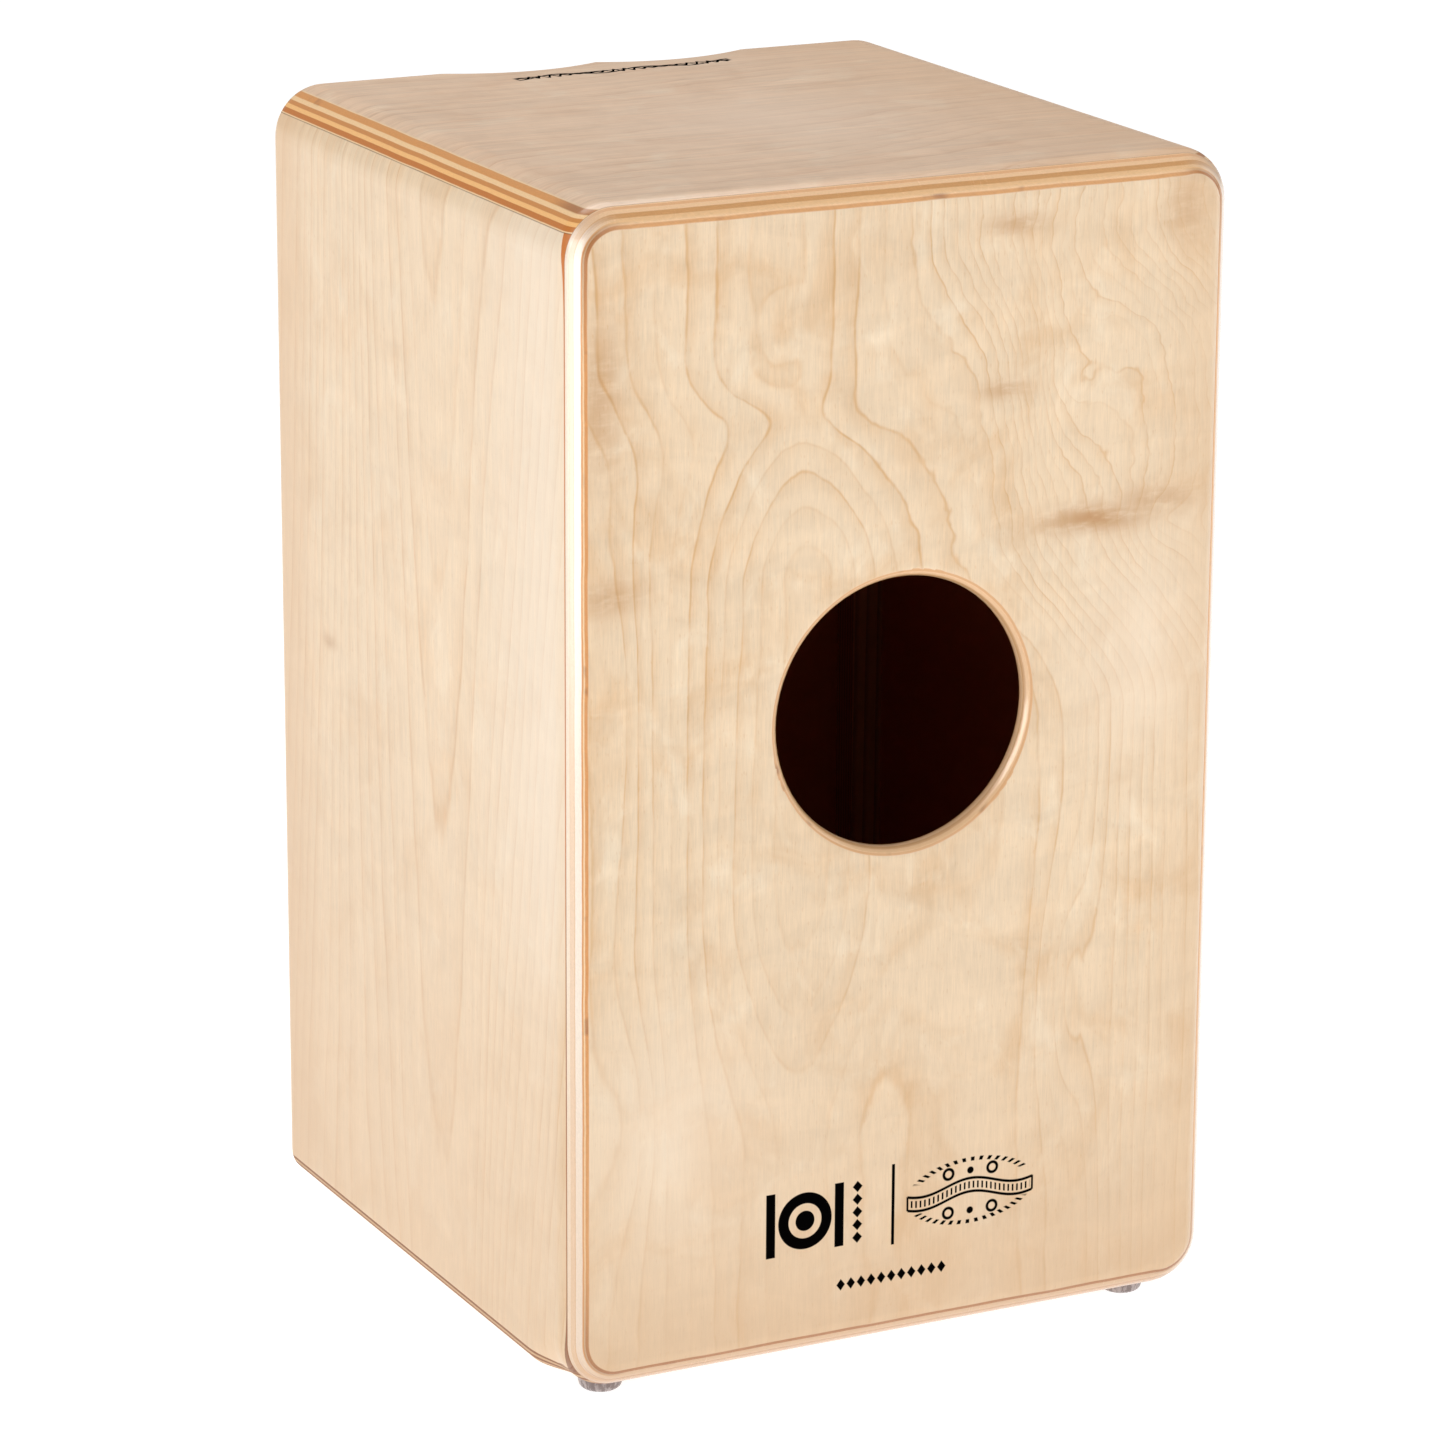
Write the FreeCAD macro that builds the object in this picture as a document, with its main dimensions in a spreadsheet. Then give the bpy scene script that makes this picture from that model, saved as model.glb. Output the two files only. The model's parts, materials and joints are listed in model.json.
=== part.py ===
import FreeCAD, Part
import math
import os

import Sketcher

# A box drum with strings behind its struck front plate. Millimetres, +Z up.
# The origin is on the floor, under the middle of the case. -Y is the front plate, +Y the back
# panel with the sound hole, and +X and -X are the two side panels.

DIMENSIONS = {
    # the case
    "body_width": 300.0,
    "body_depth": 300.0,
    "body_height": 492.0,
    "foot_height": 8.0,
    "seat_ply": 11.0,
    "case_ply": 8.5,
    "back_ply": 6.0,
    "plate_ply": 3.5,
    "corner_round": 22.0,
    "bottom_round": 10.0,
    "blend_start": 14.0,
    "blend_length": 28.0,
    "back_round": 12.0,
    "front_round": 10.0,
    # the sound hole in the back panel
    "hole_radius": 56.5,
    "hole_rise": 280.0,
    "hole_rim_round": 4.8,
    "hole_inner_round": 0.8,
    # two shallow hand scoops in the seat's front edge
    "scoop_spread": 34.0,
    "scoop_radius": 161.0,
    "scoop_reach": 19.0,
    "scoop_slope": 27.0,
    "scoop_length": 120.0,
    # the frame inside
    "batten": 15.0,
    "corner_strip": 18.0,
    # fasteners
    "drill_gap": 0.05,
    "countersink_rim": 0.3,
    "plate_screw_head": 3.6,
    "plate_screw_shank": 1.6,
    "plate_screw_length": 16.0,
    "bobbin_screw_head": 3.0,
    "bobbin_screw_shank": 1.4,
    "bobbin_screw_length": 13.0,
    "foot_screw_head": 3.8,
    "foot_screw_shank": 1.75,
    "foot_screw_high": 2.2,
    "foot_screw_length": 12.5,
    "bracket_screw_head": 2.6,
    "bracket_screw_shank": 1.4,
    "bracket_screw_high": 1.8,
    "bracket_screw_length": 9.0,
    "bracket_screw_gap": 1.2,
    # feet
    "foot_inset": 26.0,
    "foot_top_radius": 10.2,
    "foot_tread_radius": 8.6,
    "foot_recess_radius": 4.6,
    "foot_recess_depth": 4.0,
    "foot_edge_round": 3.0,
    "foot_bore_gap": 0.3,
    "foot_washer_radius": 4.4,
    "foot_washer_thick": 1.0,
    # strings and their tensioners
    "tuner_offset": 70.0,
    "string_radius": 0.6,
    "string_spread": 9.0,
    "string_plate_gap": 0.1,
    "string_foot_gap": 1.6,
    "string_end_radius": 1.8,
    "string_end_length": 3.5,
    "string_end_gap": 0.1,
    "bobbin_gap": 0.1,
    "bobbin_rise": 455.0,
    "rail_height": 26.0,
    "rail_thick": 11.0,
    "bracket_width": 54.0,
    "bracket_deep": 14.0,
    "bracket_plate": 2.5,
    "bracket_high": 52.5,
    "guide_gap": 34.0,
    "guide_deep": 9.0,
    "carriage_rise": 52.0,
    "carriage_high": 10.0,
    "carriage_front_gap": 0.5,
    "carriage_back_over": 1.0,
    "slide_gap": 0.3,
    "tuning_shank": 2.45,
    "tuning_bore": 2.5,
    "tuning_head": 4.25,
    "tuning_head_high": 5.0,
    "tuning_head_bevel": 0.5,
    "tuning_socket": 4.0,
    "tuning_socket_deep": 3.5,
    "tuning_tip": 4.0,
    "tuning_tip_bevel": 1.0,
    "key_hole": 5.25,
    "ring_radius": 4.5,
    "ring_thick": 1.0,
    # how far a cutter runs past the faces it cuts
    "overrun": 10.0,
}

PLATE_SCREWS_PER_SIDE = 7
PLATE_SCREWS_PER_END = 3

# A pan head's flat top and the foot of its rounding, and the driver's cross, as shares of the
# head's radius or height.
PAN_FLAT = 0.7
PAN_EDGE = 0.4
CROSS_HALF_WIDTH = 0.17
CROSS_REACH = 0.62
CROSS_DEPTH = 0.4

HEX_SIDES = 6
TOLERANCE = 0.01
X_AXIS = FreeCAD.Vector(1, 0, 0)

doc = FreeCAD.newDocument("cajon")
sheet = doc.addObject("Spreadsheet::Sheet", "Dims")
for row, (alias, size) in enumerate(DIMENSIONS.items(), start=1):
    sheet.set(f"A{row}", alias)
    sheet.set(f"B{row}", str(size))
    sheet.setAlias(f"B{row}", alias)
doc.recompute()

NODES = []


def bound(expression):
    """The expression with every dimension's name pointed at the sheet."""
    words = sorted(DIMENSIONS, key=len, reverse=True)
    for index, word in enumerate(words):
        expression = expression.replace(word, f"@{index}@")
    for index, word in enumerate(words):
        expression = expression.replace(f"@{index}@", f"Dims.{word}")
    return expression


def size_of(expression):
    """The expression's value in millimetres or degrees, read from the sheet."""
    return float(sheet.evalExpression(bound(expression)))


def bind(thing, **expressions):
    for name, expression in expressions.items():
        thing.setExpression(name, bound(expression))


def place(thing, x="0", y="0", z="0", rotation=FreeCAD.Rotation()):
    """Puts a piece's own origin at x, y, z, each an expression."""
    thing.Placement = FreeCAD.Placement(FreeCAD.Vector(0, 0, 0), rotation)
    for name, expression in (("x", x), ("y", y), ("z", z)):
        thing.setExpression(f"Placement.Base.{name}", bound(expression))
    return thing


def new(kind, label):
    thing = doc.addObject(kind, label)
    thing.Label = label
    return thing


def box(label, x, y, z):
    """A block from pairs of (low, high) expressions along X, Y and Z."""
    block = new("Part::Box", label)
    length, width, height = (f"({high})-({low})" for low, high in (x, y, z))
    bind(block, Length=length, Width=width, Height=height)
    return place(block, x[0], y[0], z[0])


ALONG_Z = FreeCAD.Rotation()
ALONG_Y = FreeCAD.Rotation(X_AXIS, -90)


def cylinder(label, radius, height, x="0", y="0", z="0", rotation=ALONG_Z):
    rod = new("Part::Cylinder", label)
    bind(rod, Radius=radius, Height=height)
    return place(rod, x, y, z, rotation)


def boolean(kind, label, base, tool):
    result = new(f"Part::{kind}", label)
    result.Base = base
    result.Tool = tool
    return result


def cut(label, base, tool):
    return boolean("Cut", label, base, tool)


def common(label, base, tool):
    return boolean("Common", label, base, tool)


def fuse(label, *shapes):
    result = new("Part::MultiFuse", label)
    result.Shapes = list(shapes)
    return result


def compound(label, *links):
    result = new("Part::Compound", label)
    result.Links = list(links)
    return result


def rounded(label, base, chosen):
    """base with its edges rounded to the radii that chosen(edge, end) gives for their ends."""
    doc.recompute()
    result = new("Part::Fillet", label)
    result.Base = base
    radii = []
    for number, edge in enumerate(base.Shape.Edges, start=1):
        first = chosen(edge, edge.firstVertex().Point)
        last = chosen(edge, edge.lastVertex().Point)
        if first and last:
            radii.append((number, first, last))
    result.Edges = radii
    return result


def node(thing):
    """Marks a finished piece, which is written under its label."""
    NODES.append(thing)
    return thing


def outline_sketch(body, plane, points):
    """A closed outline on one of the body's own planes. Every corner is a pair of expressions."""
    sketch = body.newObject("Sketcher::SketchObject", f"{body.Label}_outline")
    origin_plane = next(f for f in body.Origin.OriginFeatures if f.Role == plane)
    sketch.AttachmentSupport = [(origin_plane, "")]
    sketch.MapMode = "FlatFace"
    corners = [FreeCAD.Vector(size_of(across), size_of(up), 0) for across, up in points]
    for index, corner in enumerate(corners):
        following = corners[(index + 1) % len(corners)]
        sketch.addGeometry(Part.LineSegment(corner, following), False)
    for index in range(len(corners)):
        following = (index + 1) % len(corners)
        sketch.addConstraint(Sketcher.Constraint("Coincident", index, 2, following, 1))
    for index, (expressions, corner) in enumerate(zip(points, corners)):
        for kind, expression, reach in zip(("DistanceX", "DistanceY"), expressions, corner):
            number = sketch.addConstraint(Sketcher.Constraint(kind, -1, 1, index, 1, reach))
            sketch.setExpression(f"Constraints[{number}]", bound(expression))
    return sketch


def turned_body(label, points):
    """A body turned about its own Z axis from an outline of (radius, height) corners."""
    body = new("PartDesign::Body", label)
    sketch = outline_sketch(body, "XZ_Plane", points)
    turn = body.newObject("PartDesign::Revolution", f"{label}_turn")
    turn.Profile = sketch
    turn.ReferenceAxis = (sketch, ["V_Axis"])
    turn.Angle = 360
    doc.recompute()
    return body


def padded_body(label, plane, points, length):
    """A body raised from an outline, evenly to both sides of the plane."""
    body = new("PartDesign::Body", label)
    sketch = outline_sketch(body, plane, points)
    pad = body.newObject("PartDesign::Pad", f"{label}_pad")
    pad.Profile = sketch
    pad.Midplane = True
    bind(pad, Length=length)
    doc.recompute()
    return body


def sink(body, points, below, depth):
    """Sinks an outline upwards into the body, from the level that lies below its origin."""
    before = body.Shape.Volume
    sketch = outline_sketch(body, "XY_Plane", points)
    sketch.setExpression("AttachmentOffset.Base.z", bound(f"-({below})"))
    pocket = body.newObject("PartDesign::Pocket", f"{body.Label}_pocket")
    pocket.Profile = sketch
    pocket.Reversed = True
    bind(pocket, Length=depth)
    doc.recompute()
    if body.Shape.Volume >= before:
        raise RuntimeError(f"{body.Label}: the pocket removes nothing")
    return body


def add_edge_round(body, radius, chosen):
    """Rounds the edges of the body's last feature that chosen(edge) picks."""
    base = body.Tip
    names = [f"Edge{n}" for n, edge in enumerate(base.Shape.Edges, start=1) if chosen(edge)]
    fillet = body.newObject("PartDesign::Fillet", f"{body.Label}_round")
    fillet.Base = (base, names)
    bind(fillet, Radius=radius)
    doc.recompute()
    return body


# ---------------------------------------------------------------- the case's outer shape

top = "foot_height+body_height"
half_width = "body_width/2"
half_depth = "body_depth/2"
inside_width = "(body_width/2-case_ply)"
inside_top = "(foot_height+body_height-seat_ply)"
inside_bottom = "(foot_height+case_ply)"
plate_back = "(-body_depth/2+plate_ply)"
back_front = "(body_depth/2-back_ply)"


def runs_along_y(edge):
    start, end = edge.firstVertex().Point, edge.lastVertex().Point
    return abs(start.x - end.x) < TOLERANCE and abs(start.z - end.z) < TOLERANCE


def lies_at_y(edge, y):
    return all(abs(vertex.Point.y - y) < TOLERANCE for vertex in edge.Vertexes)


# The long edges are split where the bottom ones' rounding grows towards the back panel, whose
# four corners are all alike.
blend_back = f"({half_depth}-blend_start)"
blend_front = f"({blend_back}-blend_length)"
stretches = []
for label, stretch in (
    ("outer_front", (f"-{half_depth}", blend_front)),
    ("outer_blend", (blend_front, blend_back)),
    ("outer_back", (blend_back, half_depth)),
):
    stretches.append(box(label, (f"-{half_width}", half_width), stretch, ("foot_height", top)))
outer_block = fuse("outer_block", *stretches)
outer_block.Refine = False


def long_round(edge, end):
    if not runs_along_y(edge):
        return None
    if end.z > size_of(top) - TOLERANCE or end.y > size_of(blend_back) - TOLERANCE:
        return size_of("corner_round")
    return size_of("bottom_round")


def end_round(edge, end):
    if lies_at_y(edge, size_of(half_depth)):
        return size_of("back_round")
    if lies_at_y(edge, -size_of(half_depth)):
        return size_of("front_round")
    return None


outer_long_rounds = rounded("outer_long_rounds", outer_block, long_round)
outer_rounds = rounded("outer_rounds", outer_long_rounds, end_round)

# Each scoop is a round cutter that leans down to the front. Its lowest line meets the seat
# scoop_reach behind the front plate's face.
scoops = []
lean_back = "scoop_slope*1deg"
for side, sign in (("left", "-"), ("right", "")):
    scoops.append(
        cylinder(
            f"scoop_{side}",
            "scoop_radius",
            "scoop_length",
            f"{sign}scoop_spread",
            f"-{half_depth}+scoop_reach+scoop_length/2*cos({lean_back})-scoop_radius*sin({lean_back})",
            f"{top}+scoop_length/2*sin({lean_back})+scoop_radius*cos({lean_back})",
            FreeCAD.Rotation(X_AXIS, 90 + size_of("scoop_slope")),
        )
    )
outer_shape = cut("outer_shape", outer_rounds, compound("scoops", *scoops))

# ---------------------------------------------------------------- screws and what they need


def countersunk(label, head, shank, length, gap="0"):
    """A countersunk screw along +Z, its head's face at the origin. gap widens it into a drill."""
    return turned_body(
        label,
        [
            ("0", f"-{gap}"),
            (f"{head}+{gap}", f"-{gap}"),
            (f"{head}+{gap}", "countersink_rim"),
            (f"{shank}+{gap}", f"{head}-{shank}+countersink_rim"),
            (f"{shank}+{gap}", f"{length}-{shank}"),
            ("0", f"{length}+{gap}"),
        ],
    )


def pan_headed(label, head, shank, length, head_high):
    """A pan-headed screw along +Z, the seat under its head at the origin."""
    return turned_body(
        label,
        [
            ("0", f"-{head_high}"),
            (f"{PAN_FLAT}*{head}", f"-{head_high}"),
            (head, f"-{PAN_EDGE}*{head_high}"),
            (head, "0"),
            (shank, "0"),
            (shank, f"{length}-{shank}"),
            ("0", length),
        ],
    )


def drill(label, shank, length):
    """The hole that a pan-headed screw's shank needs."""
    return turned_body(
        label,
        [
            ("0", "-overrun"),
            (f"{shank}+drill_gap", "-overrun"),
            (f"{shank}+drill_gap", f"{length}-{shank}"),
            ("0", f"{length}+drill_gap"),
        ],
    )


def cross_slot(body, head, top_of_head):
    """Sinks the driver's cross into a screw's head."""
    arm = f"{CROSS_HALF_WIDTH}*{head}"
    reach = f"{CROSS_REACH}*{head}"
    quarter = [(reach, arm), (arm, arm), (arm, reach)]
    cross = list(quarter)
    for _ in range(3):
        quarter = [(f"-({up})", across) for across, up in quarter]
        cross += quarter
    return sink(body, cross, top_of_head, f"{CROSS_DEPTH}*{head}")


def group(label, master, places):
    """Separate copies of one piece, as a node of their own. Each place is (x, y, z, rotation)."""
    doc.recompute()
    copies = []
    for x, y, z, rotation in places:
        position = FreeCAD.Vector(size_of(x), size_of(y), size_of(z))
        copy = master.Shape.copy()
        copy.Placement = FreeCAD.Placement(position, rotation).multiply(copy.Placement)
        copies.append(copy)
    result = new("Part::Feature", label)
    result.Shape = Part.makeCompound(copies)
    return result


POINTING_UP = FreeCAD.Rotation()
POINTING_DOWN = FreeCAD.Rotation(X_AXIS, 180)
POINTING_BACK = ALONG_Y

# The front plate's screws, on the middle line of the battens behind it.
screw_line_x = "(body_width/2-case_ply-batten/2)"
screw_line_top = "(foot_height+body_height-seat_ply-batten/2)"
screw_line_bottom = "(foot_height+case_ply+batten/2)"
plate_places = []
for index in range(PLATE_SCREWS_PER_SIDE):
    share = index / (PLATE_SCREWS_PER_SIDE - 1)
    height = f"{screw_line_bottom}+({screw_line_top}-{screw_line_bottom})*{share}"
    plate_places.append((screw_line_x, f"-{half_depth}", height, POINTING_BACK))
    plate_places.append((f"-{screw_line_x}", f"-{half_depth}", height, POINTING_BACK))
for index in range(1, PLATE_SCREWS_PER_END + 1):
    share = 2 * index / (PLATE_SCREWS_PER_END + 1) - 1
    for height in (screw_line_bottom, screw_line_top):
        across = f"{screw_line_x}*({share})"
        plate_places.append((across, f"-{half_depth}", height, POINTING_BACK))

plate_screw = countersunk(
    "plate_screw", "plate_screw_head", "plate_screw_shank", "plate_screw_length"
)
cross_slot(plate_screw, "plate_screw_head", "0")
plate_drill = countersunk(
    "plate_drill", "plate_screw_head", "plate_screw_shank", "plate_screw_length", "drill_gap"
)
node(group("plate_screws", plate_screw, plate_places))
plate_drills = group("plate_drills", plate_drill, plate_places)

# ---------------------------------------------------------------- feet

foot_x = "(body_width/2-foot_inset)"
foot_y = "(body_depth/2-foot_inset)"
FEET = {
    "foot_front_left": (f"-{foot_x}", f"-{foot_y}"),
    "foot_front_right": (foot_x, f"-{foot_y}"),
    "foot_back_left": (f"-{foot_x}", foot_y),
    "foot_back_right": (foot_x, foot_y),
}


def is_tread_edge(edge):
    if not isinstance(edge.Curve, Part.Circle):
        return False
    return abs(edge.Curve.Radius - size_of("foot_tread_radius")) < TOLERANCE


for label, (x, y) in FEET.items():
    foot = turned_body(
        label,
        [
            ("foot_screw_shank+foot_bore_gap", "foot_recess_depth"),
            ("foot_recess_radius", "foot_recess_depth"),
            ("foot_recess_radius", "0"),
            ("foot_tread_radius", "0"),
            ("foot_top_radius", "foot_height"),
            ("foot_screw_shank+foot_bore_gap", "foot_height"),
        ],
    )
    add_edge_round(foot, "foot_edge_round", is_tread_edge)
    node(place(foot, x, y, "0"))

washer = turned_body(
    "foot_washer",
    [
        ("foot_screw_shank+foot_bore_gap", "0"),
        ("foot_washer_radius", "0"),
        ("foot_washer_radius", "foot_washer_thick"),
        ("foot_screw_shank+foot_bore_gap", "foot_washer_thick"),
    ],
)
washer_bottom = "(foot_recess_depth-foot_washer_thick)"
foot_screw = pan_headed(
    "foot_screw", "foot_screw_head", "foot_screw_shank", "foot_screw_length", "foot_screw_high"
)
cross_slot(foot_screw, "foot_screw_head", "foot_screw_high")
foot_drill = drill("foot_drill", "foot_screw_shank", "foot_screw_length")
foot_places = [(x, y, washer_bottom, POINTING_UP) for x, y in FEET.values()]
node(group("foot_washers", washer, foot_places))
node(group("foot_screws", foot_screw, foot_places))
foot_drills = group("foot_drills", foot_drill, foot_places)

# ---------------------------------------------------------------- string tensioners

tuner_y = "(-body_depth/2+plate_ply+batten/2)"
batten_top = "(foot_height+case_ply+batten)"
bracket_top = "(foot_height+case_ply+batten+bracket_high)"
rail_front = "(-body_depth/2+plate_ply+batten-rail_thick)"
string_top_y = "(-body_depth/2+plate_ply+string_radius+string_plate_gap)"
string_foot_y = "(-body_depth/2+plate_ply+string_radius+string_foot_gap)"
SIDES = {"left": "-tuner_offset", "right": "tuner_offset"}

bracket_screw = pan_headed(
    "bracket_screw",
    "bracket_screw_head",
    "bracket_screw_shank",
    "bracket_screw_length",
    "bracket_screw_high",
)
cross_slot(bracket_screw, "bracket_screw_head", "bracket_screw_high")
bracket_drill = drill("bracket_drill", "bracket_screw_shank", "bracket_screw_length")
bracket_places = []
bobbin_places = []
screw_reach = "(guide_gap/2+bracket_plate+bracket_screw_head+bracket_screw_gap)"
for middle in SIDES.values():
    for sign in ("-", "+"):
        place_x = f"{middle}{sign}{screw_reach}"
        bracket_places.append((place_x, tuner_y, f"{batten_top}+bracket_plate", POINTING_DOWN))
    bobbin_places.append((middle, f"{plate_back}+slide_gap", "bobbin_rise", POINTING_BACK))
node(group("bracket_screws", bracket_screw, bracket_places))
bracket_drills = group("bracket_drills", bracket_drill, bracket_places)

bobbin_screw = countersunk(
    "bobbin_screw", "bobbin_screw_head", "bobbin_screw_shank", "bobbin_screw_length"
)
cross_slot(bobbin_screw, "bobbin_screw_head", "0")
bobbin_drill = countersunk(
    "bobbin_drill", "bobbin_screw_head", "bobbin_screw_shank", "bobbin_screw_length", "drill_gap"
)
node(group("bobbin_screws", bobbin_screw, bobbin_places))
bobbin_drills = group("bobbin_drills", bobbin_drill, bobbin_places)


def make_tensioner(side, middle):
    """The bracket, its screw with the ring that holds it, and the carriage on the screw."""
    base = box(
        f"bracket_base_{side}",
        (f"{middle}-bracket_width/2", f"{middle}+bracket_width/2"),
        (f"{tuner_y}-bracket_deep/2", f"{tuner_y}+bracket_deep/2"),
        (batten_top, f"{batten_top}+bracket_plate"),
    )
    frame = box(
        f"bracket_frame_{side}",
        (f"{middle}-guide_gap/2-bracket_plate", f"{middle}+guide_gap/2+bracket_plate"),
        (f"{tuner_y}-guide_deep/2", f"{tuner_y}+guide_deep/2"),
        (batten_top, bracket_top),
    )
    window = box(
        f"bracket_window_{side}",
        (f"{middle}-guide_gap/2", f"{middle}+guide_gap/2"),
        (f"{tuner_y}-guide_deep", f"{tuner_y}+guide_deep"),
        (f"{batten_top}+bracket_plate", f"{bracket_top}-bracket_plate"),
    )
    bore = cylinder(
        f"bracket_bore_{side}",
        "tuning_bore",
        "bracket_high+2*overrun",
        middle,
        tuner_y,
        f"{batten_top}-overrun",
    )
    solid = fuse(f"bracket_solid_{side}", base, frame)
    removed = compound(f"bracket_removed_{side}", window, bore)
    opened = cut(f"bracket_opened_{side}", solid, removed)
    node(cut(f"tensioner_bracket_{side}", opened, bracket_drills))

    screw = turned_body(
        f"tension_screw_{side}",
        [
            ("0", "-tuning_head_high"),
            ("tuning_head-tuning_head_bevel", "-tuning_head_high"),
            ("tuning_head", "tuning_head_bevel-tuning_head_high"),
            ("tuning_head", "-drill_gap"),
            ("tuning_shank", "-drill_gap"),
            ("tuning_shank", "bracket_high+tuning_tip-tuning_tip_bevel"),
            ("tuning_shank-tuning_tip_bevel", "bracket_high+tuning_tip"),
            ("0", "bracket_high+tuning_tip"),
        ],
    )
    corners = []
    for corner in range(HEX_SIDES):
        turn = math.tau * corner / HEX_SIDES
        reach = f"tuning_socket/2/{math.cos(math.pi / HEX_SIDES):.9f}"
        corners.append((f"{reach}*({math.cos(turn):.9f})", f"{reach}*({math.sin(turn):.9f})"))
    sink(screw, corners, "tuning_head_high", "tuning_socket_deep")
    node(place(screw, middle, tuner_y, batten_top))

    ring = turned_body(
        f"retaining_ring_{side}",
        [
            ("tuning_shank", "0"),
            ("ring_radius", "0"),
            ("ring_radius", "ring_thick"),
            ("tuning_shank", "ring_thick"),
        ],
    )
    node(place(ring, middle, tuner_y, f"{bracket_top}+drill_gap"))

    block = box(
        f"carriage_block_{side}",
        (f"{middle}-guide_gap/2+slide_gap", f"{middle}+guide_gap/2-slide_gap"),
        (f"{plate_back}+carriage_front_gap", f"{tuner_y}+guide_deep/2+carriage_back_over"),
        ("carriage_rise", "carriage_rise+carriage_high"),
    )
    removed = [
        cylinder(
            f"carriage_bore_{side}",
            "tuning_bore",
            "carriage_high+2*overrun",
            middle,
            tuner_y,
            "carriage_rise-overrun",
        )
    ]
    for number, sign in enumerate(("-", "+")):
        leg_x = f"{middle}{sign}string_spread"
        removed.append(
            box(
                f"string_slot_{side}_{number}",
                (f"{leg_x}-string_radius-slide_gap", f"{leg_x}+string_radius+slide_gap"),
                (f"{string_foot_y}-overrun", f"{string_foot_y}+string_radius+slide_gap"),
                ("carriage_rise-overrun", "carriage_rise+carriage_high+overrun"),
            )
        )
    carriage_removed = compound(f"carriage_removed_{side}", *removed)
    node(cut(f"string_carriage_{side}", block, carriage_removed))


def make_string(side, middle):
    """One wire with two legs, turned round the bobbin, and a ball under the carriage at each end."""
    length = "(bobbin_rise-carriage_rise+string_end_gap)"
    pieces = []
    for number, sign in enumerate(("-", "")):
        x = f"{sign}string_spread"
        leg = cylinder(
            f"string_leg_{side}_{number}", "string_radius", length, x, "0", f"-{length}"
        )
        ball = cylinder(
            f"string_ball_{side}_{number}",
            "string_end_radius",
            "string_end_length",
            x,
            "0",
            f"-{length}-string_end_length",
        )
        pieces += [leg, ball]
    turn = new("Part::Torus", f"string_turn_{side}")
    bind(turn, Radius1="string_spread", Radius2="string_radius")
    turn.Angle3 = 180
    place(turn, rotation=FreeCAD.Rotation(X_AXIS, 90))
    wire = fuse(f"string_{side}", *pieces, turn)
    drop = size_of(f"{string_foot_y}-({string_top_y})")
    lean = math.degrees(math.atan2(drop, size_of(length)))
    leaning = FreeCAD.Rotation(X_AXIS, lean)
    node(place(wire, middle, string_top_y, "bobbin_rise", leaning))


def make_bobbin(side, middle):
    plain = cylinder(
        f"bobbin_plain_{side}",
        "string_spread-string_radius-bobbin_gap",
        f"{rail_front}-({plate_back})-slide_gap",
        middle,
        f"{plate_back}+slide_gap",
        "bobbin_rise",
        ALONG_Y,
    )
    node(cut(f"string_bobbin_{side}", plain, bobbin_drills))


for side, middle in SIDES.items():
    make_tensioner(side, middle)
    make_string(side, middle)
    make_bobbin(side, middle)

# ---------------------------------------------------------------- panels

key_holes = compound(
    "key_holes",
    *[
        cylinder(
            f"key_hole_{side}",
            "key_hole",
            f"{batten_top}+2*overrun",
            middle,
            tuner_y,
            "-overrun",
        )
        for side, middle in SIDES.items()
    ],
)

panel_y = (plate_back, back_front)
top_blank = box("top_blank", (f"-{half_width}", half_width), panel_y, (inside_top, top))
node(common("top_panel", top_blank, outer_shape))

bottom_blank = box(
    "bottom_blank", (f"-{half_width}", half_width), panel_y, ("foot_height", inside_bottom)
)
bottom_shaped = common("bottom_shaped", bottom_blank, outer_shape)
bottom_drilled = cut("bottom_drilled", bottom_shaped, foot_drills)
node(cut("bottom_panel", bottom_drilled, key_holes))

side_z = (inside_bottom, inside_top)
for label, side_x in (
    ("left_side_panel", (f"-{half_width}", f"-{inside_width}")),
    ("right_side_panel", (inside_width, half_width)),
):
    blank = box(f"{label}_blank", side_x, panel_y, side_z)
    node(common(label, blank, outer_shape))

back_blank = box(
    "back_blank", (f"-{half_width}", half_width), (back_front, half_depth), ("foot_height", top)
)
back_shaped = common("back_shaped", back_blank, outer_shape)
sound_hole = cylinder("sound_hole", "hole_radius", "body_depth", "0", "0", "hole_rise", ALONG_Y)
back_pierced = cut("back_pierced", back_shaped, sound_hole)


def rim_round(edge, end):
    circle = edge.Curve
    if not isinstance(circle, Part.Circle):
        return None
    if abs(circle.Radius - size_of("hole_radius")) > TOLERANCE:
        return None
    outside = circle.Center.y > size_of(f"{half_depth}-back_ply/2")
    return size_of("hole_rim_round" if outside else "hole_inner_round")


node(rounded("back_panel", back_pierced, rim_round))

plate_blank = box(
    "plate_blank",
    (f"-{half_width}", half_width),
    (f"-{half_depth}", plate_back),
    ("foot_height", top),
)
plate_shaped = common("plate_shaped", plate_blank, outer_shape)
node(cut("front_plate", plate_shaped, plate_drills))

# ---------------------------------------------------------------- the frame inside

batten_y = (plate_back, f"{plate_back}+batten")
upper_batten = box(
    "upper_batten",
    (f"-{inside_width}", inside_width),
    batten_y,
    (f"{inside_top}-batten", inside_top),
)
node(cut("front_batten_top", upper_batten, plate_drills))

lower_batten = box(
    "lower_batten",
    (f"-{inside_width}", inside_width),
    batten_y,
    (inside_bottom, f"{inside_bottom}+batten"),
)
lower_removed = compound("lower_removed", plate_drills, bracket_drills)
lower_drilled = cut("lower_drilled", lower_batten, lower_removed)
node(cut("front_batten_bottom", lower_drilled, key_holes))

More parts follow.
